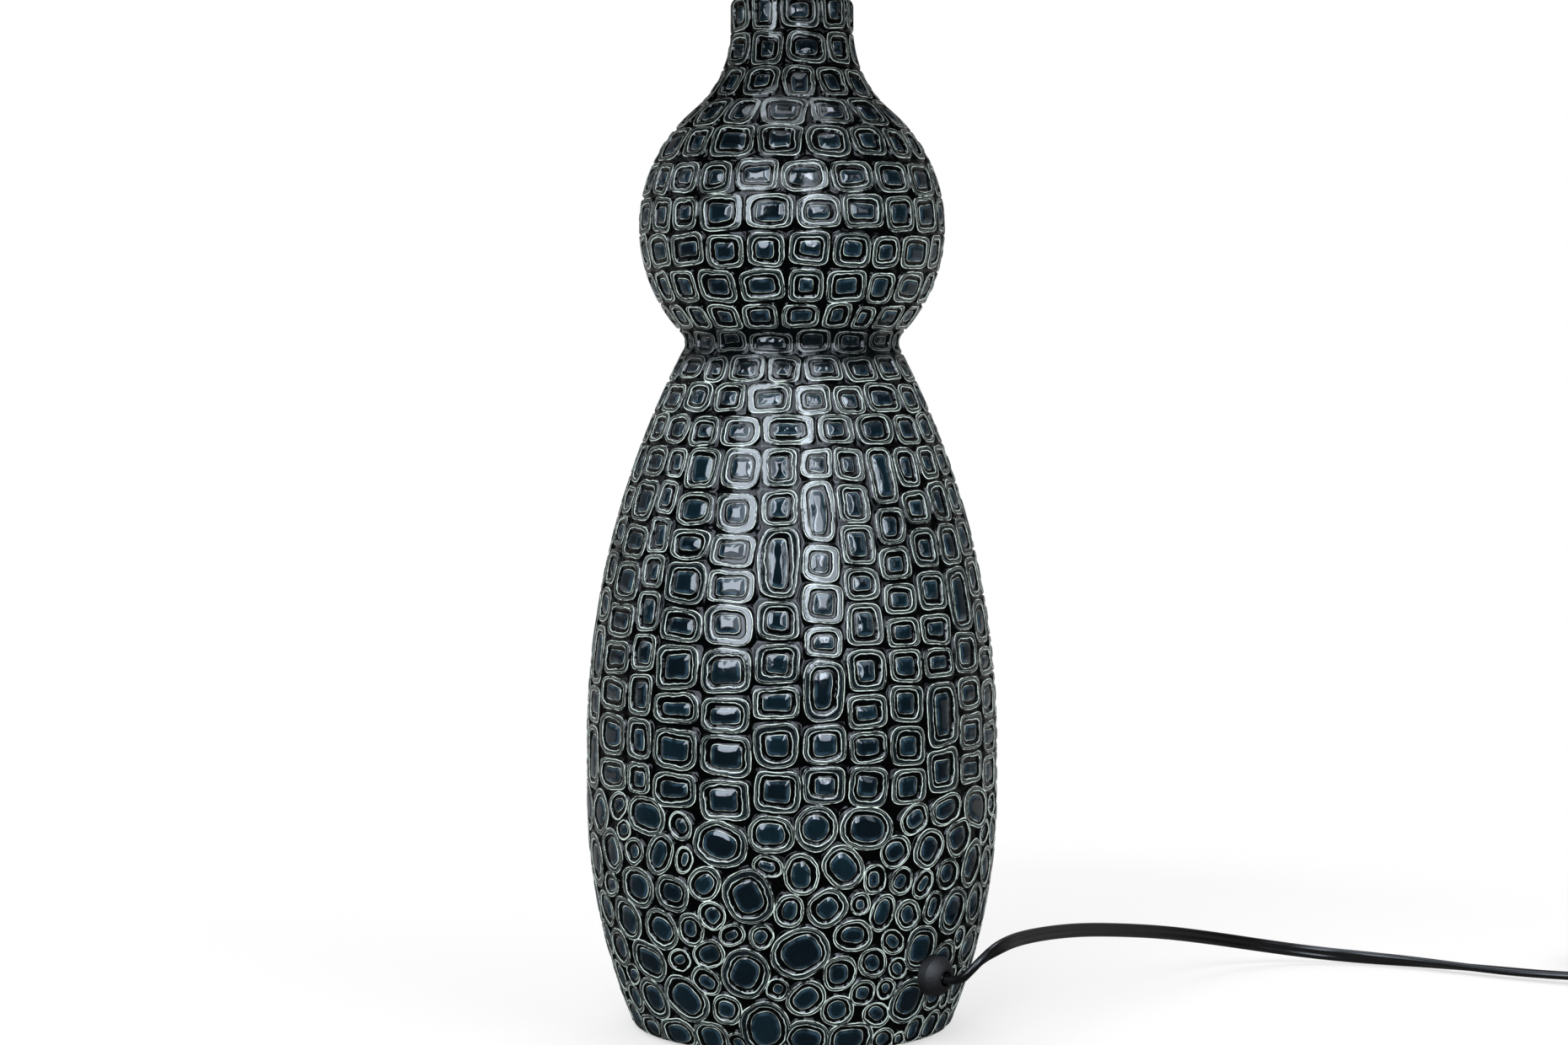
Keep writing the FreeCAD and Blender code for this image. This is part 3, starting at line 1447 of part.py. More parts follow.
failed = [o.Label for o in doc.Objects if {"Invalid", "Error"} & set(o.State)]
if failed:
    raise RuntimeError("failed objects: " + ", ".join(failed))
for item in subparts:
    if item.Shape.isNull() or not item.Shape.isValid() or not item.Shape.Solids:
        raise RuntimeError("bad shape: " + item.Label)

os.makedirs("parts", exist_ok=True)
for item in subparts:
    item.Shape.exportStep(f"parts/{item.Label}.step")
    box = item.Shape.optimalBoundingBox(False)
    print(
        f"{item.Label}: {len(item.Shape.Solids)} solid, {item.Shape.Volume:.0f} mm3, "
        f"x {box.XMin:.1f} {box.XMax:.1f}, y {box.YMin:.1f} {box.YMax:.1f}, "
        f"z {box.ZMin:.1f} {box.ZMax:.1f}"
    )
print(len(subparts), "sub-parts")
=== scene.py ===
"""Looks of the table lamp: embossed glazed gourd, flat cord, fittings, bulb and shade.

The scene is in metres in the lamp's own frame. The ceramic's pattern is worked out in
millimetres, over the angle round the lamp and the distance up its side.
"""

import json
import math
import bmesh
import bpy
import numpy as np
from mathutils import Matrix, Vector

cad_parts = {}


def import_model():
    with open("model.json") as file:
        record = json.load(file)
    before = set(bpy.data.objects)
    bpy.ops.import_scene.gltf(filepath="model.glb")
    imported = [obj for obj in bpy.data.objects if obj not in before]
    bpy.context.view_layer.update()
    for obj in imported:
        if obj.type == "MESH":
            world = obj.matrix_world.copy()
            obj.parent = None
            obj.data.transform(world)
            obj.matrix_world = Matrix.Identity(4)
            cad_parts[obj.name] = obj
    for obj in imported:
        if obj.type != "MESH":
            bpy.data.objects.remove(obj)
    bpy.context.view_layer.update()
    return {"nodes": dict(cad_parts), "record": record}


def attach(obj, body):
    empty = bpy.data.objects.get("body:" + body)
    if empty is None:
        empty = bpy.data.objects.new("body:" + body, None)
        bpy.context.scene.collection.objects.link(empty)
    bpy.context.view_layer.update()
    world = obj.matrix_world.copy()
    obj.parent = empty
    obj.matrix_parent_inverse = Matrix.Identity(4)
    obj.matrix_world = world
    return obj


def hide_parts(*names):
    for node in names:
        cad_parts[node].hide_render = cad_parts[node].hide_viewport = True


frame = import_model()
nodes = frame["nodes"]

MM = 0.001
TAU = math.tau
SEED = 7
# Folds sharper than this stay crisp
CRISP = math.radians(50)


# Materials

class Nodes:
    """Adds nodes to one tree. Inputs may be numbers, colours or other nodes' outputs."""

    def __init__(self, tree):
        self.tree = tree

    def add(self, kind, inputs=None, **settings):
        """A new node, of the type whose name is ShaderNode and then the kind."""
        node = self.tree.nodes.new("ShaderNode" + kind)
        for key, value in settings.items():
            setattr(node, key, value)
        for key, value in (inputs or {}).items():
            self.feed(node.inputs[key], value)
        return node

    def feed(self, socket, value):
        """Links a socket to another node's output, or sets its value."""
        if isinstance(value, bpy.types.NodeSocket):
            self.tree.links.new(value, socket)
        else:
            socket.default_value = value

    def math(self, operation, first, second=0.0, third=0.0, clamp=False):
        inputs = {0: first, 1: second, 2: third}
        return self.add("Math", inputs, operation=operation, use_clamp=clamp).outputs[0]

    def times(self, first, second):
        return self.math("MULTIPLY", first, second)

    def scaled(self, value, scale, start, clamp=False):
        return self.math("MULTIPLY_ADD", value, scale, start, clamp)

    def vector(self, operation, *inputs):
        return self.add("VectorMath", dict(enumerate(inputs)), operation=operation).outputs[0]

    def attribute(self, name, output="Fac"):
        return self.add("Attribute", attribute_name=name).outputs[output]

    def place(self, scale=1.0):
        """Object coordinates in millimetres, times a scale."""
        inputs = {"Vector": self.add("TexCoord").outputs["Object"], "Scale": (scale / MM,) * 3}
        return self.add("Mapping", inputs).outputs["Vector"]

    def noise(self, per_mm, detail=3.0, roughness=0.55, stretch=None):
        """Noise with features of about one over per_mm millimetres."""
        vector = self.place(per_mm)
        if stretch:
            vector = self.vector("MULTIPLY", vector, stretch)
        inputs = {"Vector": vector, "Scale": 1.0, "Detail": detail, "Roughness": roughness}
        return self.add("TexNoise", inputs).outputs["Fac"]

    def ramp(self, value, low, high, to_low=0.0, to_high=1.0):
        """A soft step: from to_low, where the value is low, to to_high, where it is high."""
        inputs = {
            "Value": value, "From Min": low, "From Max": high, "To Min": to_low, "To Max": to_high,
        }
        return self.add("MapRange", inputs, interpolation_type="SMOOTHSTEP").outputs["Result"]

    def mix(self, share, first, second):
        inputs = {"Factor": share, 6: first, 7: second}
        return self.add("Mix", inputs, data_type="RGBA").outputs[2]

    def bump(self, height, distance_mm, strength, normal=None):
        inputs = {"Height": height, "Distance": distance_mm * MM, "Strength": strength}
        if normal is not None:
            inputs["Normal"] = normal
        return self.add("Bump", inputs).outputs["Normal"]


MATERIALS = {}


class Surface(Nodes):
    """One material's nodes. MATERIALS keeps the material by its name."""

    def __init__(self, name):
        material = MATERIALS[name] = bpy.data.materials.new(name)
        material.use_nodes = True
        super().__init__(material.node_tree)
        self.shader = self.tree.nodes["Principled BSDF"]

    def shade(self, inputs):
        """Feeds the Principled shader's inputs."""
        for key, value in inputs.items():
            self.feed(self.shader.inputs[key], value)

    def finish(self, base, roughness, normal, more=None):
        self.shade({"Base Color": base, "Roughness": roughness, "Normal": normal, **(more or {})})


def colour(*values):
    """A linear colour from sRGB values of 0 to 255."""
    parts = [value / 255 for value in values]
    return (*(p / 12.92 if p <= 0.04045 else ((p + 0.055) / 1.055) ** 2.4 for p in parts), 1.0)


def metal(name, tone, roughness, per_mm=0.9):
    """Brushed metal: fine streaks across one axis, uneven polish and small dull marks."""
    n = Surface(name)
    streaks = n.noise(per_mm, 4.0, 0.6, stretch=(1.0, 1.0, 12.0))
    marks = n.ramp(n.noise(0.12), 0.35, 0.75)
    dull = (*(0.78 * c for c in tone[:3]), 1.0)
    wear = 0.12
    rough = n.scaled(streaks, wear * 2, roughness - wear)
    n.finish(n.mix(marks, tone, dull), rough, n.bump(streaks, 0.05, 0.35), {"Metallic": 1.0})


def plastic(name, tone, roughness, grain_per_mm, grain_mm, speckle=0.25):
    """Moulded plastic: fine grain, small changes of tone and of gloss."""
    n = Surface(name)
    grain = n.noise(grain_per_mm, 4.0, 0.65)
    cloud = n.noise(0.08)
    lighter = (*(min(1.0, c * (1 + speckle) + 0.004) for c in tone[:3]), 1.0)
    share = n.times(n.ramp(grain, 0.4, 0.75), 0.7)
    share = n.scaled(cloud, 0.3, share, clamp=True)
    rough = n.scaled(cloud, 0.15, roughness - 0.07)
    n.finish(n.mix(share, tone, lighter), rough, n.bump(grain, grain_mm, 0.8))


def mottled(name, dark, pale, noise, relief, roughness, uneven=0.0, **more):
    """Two tones mixed by one fine noise, which also gives the relief and may vary the gloss.

    Noise is what n.noise takes and relief is the bump's depth in millimetres and strength.
    """
    n = Surface(name)
    grain = n.noise(*noise)
    rough = n.scaled(grain, uneven, roughness) if uneven else roughness
    n.finish(n.mix(grain, colour(*dark), colour(*pale)), rough, n.bump(grain, *relief))
    n.shade({key.replace("_", " "): value for key, value in more.items()})


# Height in millimetres of the waist, round which shade under the bulge is painted into the glaze
WAIST_SHADE = 291.0


def glaze():
    """Dark teal glaze that pools black in the grooves and breaks pale over the raised edges.

    The mesh carries, in millimetres inwards, the distance from a cell's edge (edge), from the
    edge of its moat (moat) and from the edge of its pad (pad), and a chance value per cell.
    It also carries the way that the unpressed side faces (side), for the clear coat.
    """
    n = Surface("glazed_ceramic")
    edge, moat, pad, chance = [n.attribute(name) for name in ("edge", "moat", "pad", "chance")]
    fine = n.noise(0.9, roughness=0.6)
    medium = n.noise(0.22)
    broad = n.noise(0.035, 2.0)

    pooled = colour(1, 2, 3)
    band_dark = colour(3, 8, 12)
    band_pale = colour(28, 40, 46)
    line_pale = colour(232, 250, 243)
    pad_teal = colour(3, 16, 24)
    pad_light = colour(12, 35, 45)
    # Painted highlight on the pad's rounded edge
    pad_highlight = colour(58, 84, 102)

    def line(distance, middle, half_width, breaks):
        """A thin line at one distance, soft at its sides and broken by noise."""
        off = n.math("ABSOLUTE", n.math("SUBTRACT", distance, middle))
        return n.times(n.ramp(off, half_width, half_width * 0.35), breaks)

    # Groove, band and moat, from a cell's edge inwards
    streaks = n.scaled(fine, 0.7, n.times(medium, 0.5))
    band = n.mix(n.ramp(streaks, 0.45, 0.8), band_dark, band_pale)
    shade = n.mix(n.ramp(edge, 0.0, 0.4), pooled, band)
    shade = n.mix(n.ramp(moat, -0.12, 0.25), shade, pooled)

    # Pad: two tones, a painted highlight near its rim and a dark rim
    tint = n.scaled(chance, 0.35, n.times(medium, 0.35))
    centre = n.mix(n.ramp(tint, 0.15, 0.75), pad_teal, pad_light)
    # Painted highlight: a pale band just inside the pad's rim, where the lights would shine on its
    # rounded edge
    rim_highlight = n.times(n.ramp(pad, 2.3, 0.7), n.ramp(medium, 0.35, 0.65, 0.1, 0.75))
    centre = n.mix(rim_highlight, centre, pad_highlight)
    centre = n.mix(n.ramp(pad, 0.8, 0.45), centre, pooled)
    shade = n.mix(n.ramp(pad, -0.05, 0.3), shade, centre)

    # Pale lines where the glaze runs thin, on both edges of the band, within it and on the pad
    patches = n.math("ADD", n.times(medium, 1.1), n.times(broad, 0.5))
    patches = n.scaled(fine, 0.5, patches)
    wide = n.times(n.ramp(patches, 1.35, 0.75, 0.0, 0.4), n.ramp(moat, -0.6, -0.9))
    outer_line = line(edge, 0.41, 0.25, n.ramp(patches, 0.84, 1.2, 0.03, 1.0))
    mid_line = line(edge, 1.15, 0.17, wide)
    inner_line = line(moat, -0.32, 0.21, n.ramp(patches, 0.74, 1.14, 0.08, 1.0))
    pad_line = line(pad, 0.2, 0.18, n.ramp(medium, 0.35, 0.65, 0.1, 0.8))
    for strength in (outer_line, mid_line, inner_line, pad_line):
        shade = n.mix(strength, shade, line_pale)
    between = n.times(n.ramp(fine, 0.25, 0.5), n.ramp(moat, -0.7, -0.85))
    shade = n.mix(line(edge, 0.87, 0.2, between), shade, band_dark)

    # Painted shade: the glaze darkens round the waist, under the bulge
    height = n.add("SeparateXYZ", {"Vector": n.place()}).outputs["Z"]
    off_waist = n.math("ABSOLUTE", n.math("SUBTRACT", height, WAIST_SHADE))
    base = n.mix(n.ramp(off_waist, 13.0, 4.0, 0.0, 0.8), shade, band_dark)

    # Grooves and moats reflect less: painted shade, in place of the relief hiding the lights from
    # them
    shaded_hollow = n.times(n.ramp(moat, -0.15, 0.3, 0.0, 0.6), n.ramp(pad, 0.1, -0.2))
    unshaded_share = n.math("SUBTRACT", n.ramp(edge, -0.2, 0.35, 0.25, 1.0), shaded_hollow, clamp=True)

    ripple = n.bump(medium, 0.2, 0.35)
    beads = n.math("ADD", outer_line, mid_line)
    beads = n.math("ADD", beads, n.math("ADD", inner_line, pad_line))
    normal = n.bump(fine, 0.03, 0.2, n.bump(beads, 0.1, 0.7, ripple))

    # The clear coat flows over the relief: its normal lies between the side's and the relief's
    side = n.add(
        "VectorTransform", {"Vector": n.attribute("side", "Vector")},
        vector_type="NORMAL", convert_from="OBJECT", convert_to="WORLD",
    ).outputs["Vector"]
    real = n.add("NewGeometry").outputs["Normal"]
    flowed = n.vector("MULTIPLY_ADD", real, (0.42, 0.42, 0.42), side)
    flowed = n.vector("NORMALIZE", flowed)
    n.finish(base, n.scaled(medium, 0.05, 0.04), normal, {
        "IOR": 1.52,
        "Specular IOR Level": n.times(unshaded_share, 0.6),
        "Coat Weight": 0.09,
        "Coat IOR": 2.2,
        "Coat Roughness": 0.1,
        "Coat Normal": n.bump(medium, 0.35, 0.35, flowed),
    })


def cord_jacket():
    """Black vinyl: slightly dull, with a fine grain and dust."""
    n = Surface("cord_jacket")
    grain = n.noise(1.4, 4.0, 0.6)
    dust = n.ramp(n.noise(0.3, 5.0, 0.7), 0.5, 0.8, 0.0, 0.5)
    tone = n.mix(dust, colour(13, 13, 15), colour(36, 37, 40))
    n.finish(tone, n.scaled(grain, 0.14, 0.17), n.bump(grain, 0.06, 0.5))


# Spacing of the linen's threads in millimetres
THREAD = 0.9


def linen():
    """Woven linen over a stiff liner: crossed threads of uneven thickness, with slubs."""
    n = Surface("shade_linen")

    def wave(attribute, slub):
        threads = n.scaled(slub, 1.6, n.attribute(attribute))
        return n.math("SINE", n.times(threads, TAU / THREAD))

    slub = n.noise(0.25, 4.0, 0.6, stretch=(1.0, 1.0, 5.0))
    slub_up = n.noise(0.25, 4.0, 0.6, stretch=(6.0, 6.0, 1.0))
    weave = n.times(wave("warp", slub), wave("weft", slub_up))
    height = n.scaled(weave, 0.5, 0.5)
    cloud = n.ramp(n.noise(0.02), 0.3, 0.7, 0.0, 0.25)
    share = n.scaled(height, 0.5, n.times(slub, 0.5), clamp=True)
    base = n.mix(share, colour(186, 177, 157), colour(222, 215, 199))
    base = n.mix(cloud, base, colour(203, 193, 173))
    n.finish(base, 0.85, n.bump(height, 0.18, 0.6), {
        "Sheen Weight": 0.25,
        "Subsurface Weight": 0.15,
        "Subsurface Radius": (0.004, 0.003, 0.002),
    })


def porcelain():
    """Glazed porcelain: smooth, faintly uneven, with a few brown specks."""
    n = Surface("porcelain")
    cloud = n.noise(0.1)
    specks = n.ramp(n.noise(1.6, 2.0), 0.68, 0.78)
    base = n.mix(cloud, colour(226, 221, 208), colour(240, 236, 226))
    base = n.mix(specks, base, colour(150, 138, 120))
    n.finish(base, n.scaled(cloud, 0.1, 0.16), n.bump(cloud, 0.3, 0.2))


glaze()
cord_jacket()
linen()
porcelain()
metal("zinc_steel", colour(196, 198, 196), 0.34, per_mm=0.5)
metal("nickel", colour(205, 202, 194), 0.26)
metal("brass", colour(214, 178, 108), 0.3, per_mm=0.6)
metal("bulb_metal", colour(212, 213, 212), 0.28, per_mm=0.8)
plastic("clear_gasket", colour(24, 24, 25), 0.6, 1.2, 0.05)
plastic("black_plastic", colour(13, 13, 15), 0.52, 1.3, 0.3, speckle=2.2)

MOTTLE = (0.5, 5.0, 0.7)
POWDER = (0.6, 5.0, 0.7)
FIBRES = (0.8, 5.0, 0.7, (1.0, 3.0, 1.0))
FLUFF = (1.1, 6.0, 0.75)
mottled("felt", (18, 24, 22), (52, 62, 56), FLUFF, (0.3, 0.8), 0.95, Sheen_Weight=0.4)
mottled("cover_board", (96, 80, 62), (134, 114, 90), FIBRES, (0.08, 0.6), 0.88)
mottled("liner_paper", (168, 142, 102), (196, 170, 128), FIBRES, (0.08, 0.6), 0.88)
mottled("shade_lining", (26, 25, 24), (46, 44, 42), MOTTLE, (0.05, 0.4), 0.5, uneven=0.2)
# A white-coated bulb: powdery inside, smooth outside, a little light through it
mottled(
    "bulb_glass", (232, 232, 228), (250, 250, 247), POWDER, (0.02, 0.3), 0.12, uneven=0.12,
    Transmission_Weight=0.25, Coat_Weight=0.5, Coat_Roughness=0.05,
)


# Pieces

def finish(piece, name):
    """Gives a piece its material by the record's slot name."""
    piece.data.materials.clear()
    piece.data.materials.append(MATERIALS[name])


for part in frame["record"]["subparts"]:
    finish(nodes[part["node"]], part["material_slot"])


def link(piece):
    bpy.context.scene.collection.objects.link(piece)
    return piece


def new_piece(name, points, *faces, smooth=True):
    """A mesh object from points in metres and arrays of faces, each with its own corner count."""
    faces = [np.asarray(part, dtype=np.int32) for part in faces]
    sizes = np.concatenate([np.full(len(part), part.shape[1]) for part in faces])
    starts = np.concatenate([[0], np.cumsum(sizes)[:-1]])
    mesh = bpy.data.meshes.new(name)
    mesh.vertices.add(len(points))
    mesh.vertices.foreach_set("co", np.asarray(points, dtype=np.float32).ravel())
    mesh.loops.add(sizes.sum())
    mesh.loops.foreach_set("vertex_index", np.concatenate([part.ravel() for part in faces]))
    mesh.polygons.add(len(sizes))
    mesh.polygons.foreach_set("loop_start", starts.astype(np.int32))
    mesh.polygons.foreach_set("use_smooth", np.full(len(sizes), smooth))
    mesh.update(calc_edges=True)
    return link(bpy.data.objects.new(name, mesh))


def keep_values(piece, name, values):
    """Stores a number at every point, for the material to read."""
    layer = piece.data.attributes.new(name, "FLOAT", "POINT")
    layer.data.foreach_set("value", np.asarray(values, dtype=np.float32).ravel())


def around(radius, height, turn):
    """Points round an upright axis, from numbers or arrays that fit together."""
    points = np.broadcast_arrays(radius * np.cos(turn), radius * np.sin(turn), height)
    return np.stack(points, -1)


def tube_faces(rows, ring, closed=False):
    """Quads between rings of points, one after another; closed joins the last to the first."""
    index = np.arange(rows * ring).reshape(rows, ring)
    after = np.roll(index, -1, axis=0)
    quads = np.stack([index, np.roll(index, -1, 1), np.roll(after, -1, 1), after], 2)
    return (quads if closed else quads[:-1]).reshape(-1, 4)


def turned_piece(name, profile, steps=240, place=None, uneven=0.0):
    """A closed outline of (radius, height) in millimetres, taken once round an upright axis."""
    chance = np.random.default_rng(SEED + len(name))
    turns = np.arange(steps) * TAU / steps
    waves = sum(
        np.sin(count * turns + chance.uniform(0, TAU)) for count in (3, 5, 8, 13, 29)
    ) * uneven / 5
    radius, height = np.array(profile).T
    points = around(radius + waves[:, None], height, turns[:, None]).reshape(-1, 3) * MM
    if place is not None:
        points = [place @ Vector(point) for point in points]
    piece = new_piece(name, points, tube_faces(steps, len(profile), closed=True))
    face_outwards(piece)
    return piece


def face_outwards(piece):
    """Turns a closed mesh's faces outwards and keeps its sharper folds crisp."""
    work = bmesh.new()
    work.from_mesh(piece.data)
    bmesh.ops.recalc_face_normals(work, faces=work.faces)
    for edge in work.edges:
        edge.smooth = len(edge.link_faces) == 2 and edge.calc_face_angle() < CRISP
    work.to_mesh(piece.data)
    work.free()


def dress(piece, material, body, *replaced):
    """Finishes a new piece, sets it on its body and hides the nodes that it stands for."""
    finish(piece, material)
    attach(piece, body)
    if replaced:
        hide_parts(*replaced)
    return piece


# Ceramic

# The gourd's side in millimetres from its own foot, and how far that stands off the table
FOOT_LIFT = 0.8
RIM_ROUND = 4.5
NECK_RADIUS = 26.2
NECK_LENGTH = 8.9
NECK_BORE = 19.2
NECK_FILLET = 45.0
BULGE_RADIUS = 65.2
BULGE_HEIGHT = 341.0
WAIST_FILLET = 6.0
SHOULDER_ARC = 362.0
BELLY_RADIUS = 88.0
BELLY_TOP = 121.0
BELLY_BOTTOM = 99.0
FOOT_ARC = 254.5
FOOT_ROUND = 4.0
REBATE_RADIUS = 62.0
REBATE_DEPTH = 3.3
BORE_DEPTH = 30.0
NECK_RISE = math.sqrt((BULGE_RADIUS + NECK_FILLET) ** 2 - (NECK_RADIUS + NECK_FILLET) ** 2)
BODY_HEIGHT = BULGE_HEIGHT + NECK_RISE + NECK_LENGTH + RIM_ROUND

# How fine the mesh is: points round the lamp and millimetres between points up its side
ROUND_STEPS = 1200
SIDE_STEP = 0.53

# The pattern's rows above the columns, from the lowest: height and number of cells round
ROWS = [
    (14.4, 21), (14.1, 21), (13.0, 19), (11.0, 18), (13.5, 22), (15.2, 21), (15.8, 22),
    (15.7, 22), (15.3, 21), (16.8, 18), (17.6, 15), (16.1, 13), (15.2, 11), (16.3, 10),
]
# The belly's columns: number, usual height of a cell, and how often one is tall or in two
COLUMNS = 27
COLUMN_CELL = 16.2
TALL_SHARE = 0.06
SPLIT_SHARE = 0.035
# The pebbles round the foot: number, top, spacing of the spots they share and rounds of sharing
PEBBLES = 240
PEBBLE_TOP = 97.0
PEBBLE_SPOTS = 2.2
PEBBLE_ROUNDS = 26
# Waves in a random field
WAVES = 5
# The groove between cells: width, depth, and how fast it deepens away from an edge
GAP = 1.15
GROOVE_DEPTH = 1.1
GROOVE_SLOPE = 0.35


def side_arcs():
    """The side as arcs and lines from foot to rim.

    An arc is (centre r, centre z, radius, start angle, end angle); a line is (r, z, r, z).
    """
    low = (BELLY_RADIUS - FOOT_ARC, BELLY_BOTTOM)
    high = (BELLY_RADIUS - SHOULDER_ARC, BELLY_TOP)
    foot_r = low[0] + math.sqrt((FOOT_ARC - FOOT_ROUND) ** 2 - (low[1] - FOOT_ROUND) ** 2)
    foot_turn = math.atan2(FOOT_ROUND - low[1], foot_r - low[0])
    apart = math.hypot(high[0], BULGE_HEIGHT - high[1])
    first = SHOULDER_ARC + WAIST_FILLET
    second = BULGE_RADIUS + WAIST_FILLET
    along = (first**2 - second**2 + apart**2) / (2 * apart)
    aside = math.sqrt(first**2 - along**2)
    unit = (-high[0] / apart, (BULGE_HEIGHT - high[1]) / apart)
    waist = (
        high[0] + unit[0] * along + unit[1] * aside, high[1] + unit[1] * along - unit[0] * aside,
    )
    waist_low = math.atan2(waist[1] - high[1], waist[0] - high[0])
    waist_high = math.atan2(waist[1] - BULGE_HEIGHT, waist[0])
    neck_r = NECK_RADIUS + NECK_FILLET
    neck_z = BULGE_HEIGHT + NECK_RISE
    neck_turn = math.atan2(neck_z - BULGE_HEIGHT, neck_r)
    rim_z = BODY_HEIGHT - RIM_ROUND
    return [
        (foot_r, FOOT_ROUND, FOOT_ROUND, -math.pi / 2, foot_turn),
        (*low, FOOT_ARC, foot_turn, 0.0),
        (BELLY_RADIUS, BELLY_BOTTOM, BELLY_RADIUS, BELLY_TOP),
        (*high, SHOULDER_ARC, 0.0, waist_low),
        (*waist, -WAIST_FILLET, waist_low + math.pi, waist_high + math.pi),
        (0.0, BULGE_HEIGHT, BULGE_RADIUS, waist_high, neck_turn),
        (neck_r, neck_z, -NECK_FILLET, neck_turn + math.pi, math.pi),
        (NECK_RADIUS, neck_z, NECK_RADIUS, rim_z),
        (NECK_RADIUS - RIM_ROUND, rim_z, RIM_ROUND, 0.0, math.pi / 2),
    ]


def side_line():
    """Points up the side: radius, height, outward normal and distance up from the foot's round."""
    rows = []
    for arc in side_arcs():
        if len(arc) == 4:
            r0, z0, r1, z1 = arc
            count = max(2, round(math.hypot(r1 - r0, z1 - z0) / SIDE_STEP))
            share = np.linspace(0, 1, count, endpoint=False)
            row = r0 + (r1 - r0) * share, z0 + (z1 - z0) * share, np.ones(count), np.zeros(count)
        else:
            r0, z0, radius, start, end = arc
            turn = (end - start + math.pi) % TAU - math.pi
            count = max(4, round(abs(radius * turn) / SIDE_STEP))
            angle = start + turn * np.linspace(0, 1, count, endpoint=False)
            cos, sin = np.cos(angle), np.sin(angle)
            size, out = abs(radius), math.copysign(1.0, radius)
            row = r0 + size * cos, z0 + size * sin, out * cos, out * sin
        rows.append(np.stack(row, 1))
    rows.append(np.array([[NECK_RADIUS - RIM_ROUND, BODY_HEIGHT, 0.0, 1.0]]))
    side = np.concatenate(rows)
    steps = np.hypot(np.diff(side[:, 0]), np.diff(side[:, 1]))
    distance = np.concatenate([[0.0], np.cumsum(steps)])
    distance -= np.interp(FOOT_ROUND, side[:, 1], distance)
    return side[:, 0], side[:, 1], side[:, 2:], distance


class Cell:
    """One embossed cell: its middle, half sizes, lean, corner power and what lies inside it."""

    def __init__(
        self, chance, angle, up, half_width, half_height, lean, power, round_cell=False,
    ):
        self.angle = angle
        self.up = up
        self.half = np.array([half_width, half_height])
        self.lean = lean
        self.power = power
        small = float(min(self.half))
        band = chance.uniform(0.24, 0.33) if round_cell else chance.uniform(0.28, 0.38)
        self.band = np.array([band, band * chance.uniform(0.8, 1.0)]) * small
        self.band[0] += 0.1 * (half_width - small)
        moat = chance.uniform(1.2, 1.8) if round_cell else chance.uniform(1.25, 1.9)
        self.moat = self.band + moat
        self.shift = chance.uniform(-0.35, 0.35, 4)
        self.chance = chance.uniform()
        self.twist = chance.uniform(-0.05, 0.05)
        self.tilt = chance.normal(0, 0.03, 2)


def borders(chance, count, low, high):
    """Pairs of angles between which cells of uneven width lie, once round."""
    widths = chance.uniform(low, high, count)
    turns = np.concatenate([[0.0], np.cumsum(widths)]) / widths.sum() * TAU
    turns += chance.uniform(0, TAU)
    return zip(turns, turns[1:])


def stacked_cells(chance, radius_at, low_at, high):
    """Columns that run up the belly, each with cells of its own heights."""
    cells = []
    for left, right in borders(chance, COLUMNS, 0.78, 1.2):
        middle = (left + right) / 2
        bottom = low_at(middle)
        heights = []
        while sum(heights) < high - bottom - COLUMN_CELL / 2:
            tall = chance.uniform() < TALL_SHARE
            stretch = chance.uniform(1.6, 1.95) if tall else chance.uniform(0.85, 1.2)
            heights.append(COLUMN_CELL * stretch)
        heights = np.array(heights) * (high - bottom) / sum(heights)
        up = bottom
        for height in heights:
            half_turn = (right - left) / 2
            radius = radius_at(up + height / 2)
            fits_two = height < COLUMN_CELL * 1.3 and half_turn * radius > 9.3
            split = chance.uniform() < SPLIT_SHARE and fits_two
            share = 0.5 if split else 1.0
            for spot in (-0.5, 0.5) if split else (0.0,):
                cells.append(Cell(
                    chance,
                    middle + spot * half_turn + chance.uniform(-0.3, 0.3) / radius,
                    up + height / 2 + chance.uniform(-0.3, 0.3),
                    half_turn * radius * share - GAP / 2 * chance.uniform(0.7, 1.2),
                    height / 2 - GAP / 2 * chance.uniform(0.6, 1.3),
                    lean=chance.normal(0, 0.025),
                    power=chance.uniform(3.3, 5.0),
                ))
            up += height
    return cells


def row_cells(chance, radius_at, up, height, count):
    """One row of cells round the neck, bulge or waist."""
    cells = []
    radius = radius_at(up + height / 2)
    for left, right in borders(chance, count, 0.8, 1.22):
        cells.append(Cell(
            chance,
            (left + right) / 2,
            up + height / 2 + chance.uniform(-0.6, 0.6),
            (right - left) / 2 * radius - GAP / 2 * chance.uniform(0.7, 1.3),
            height / 2 - GAP / 2 * chance.uniform(0.5, 1.2) + chance.uniform(-0.3, 0.3),
            lean=chance.normal(0, 0.03),
            power=chance.uniform(3.2, 4.8),
        ))
    return cells


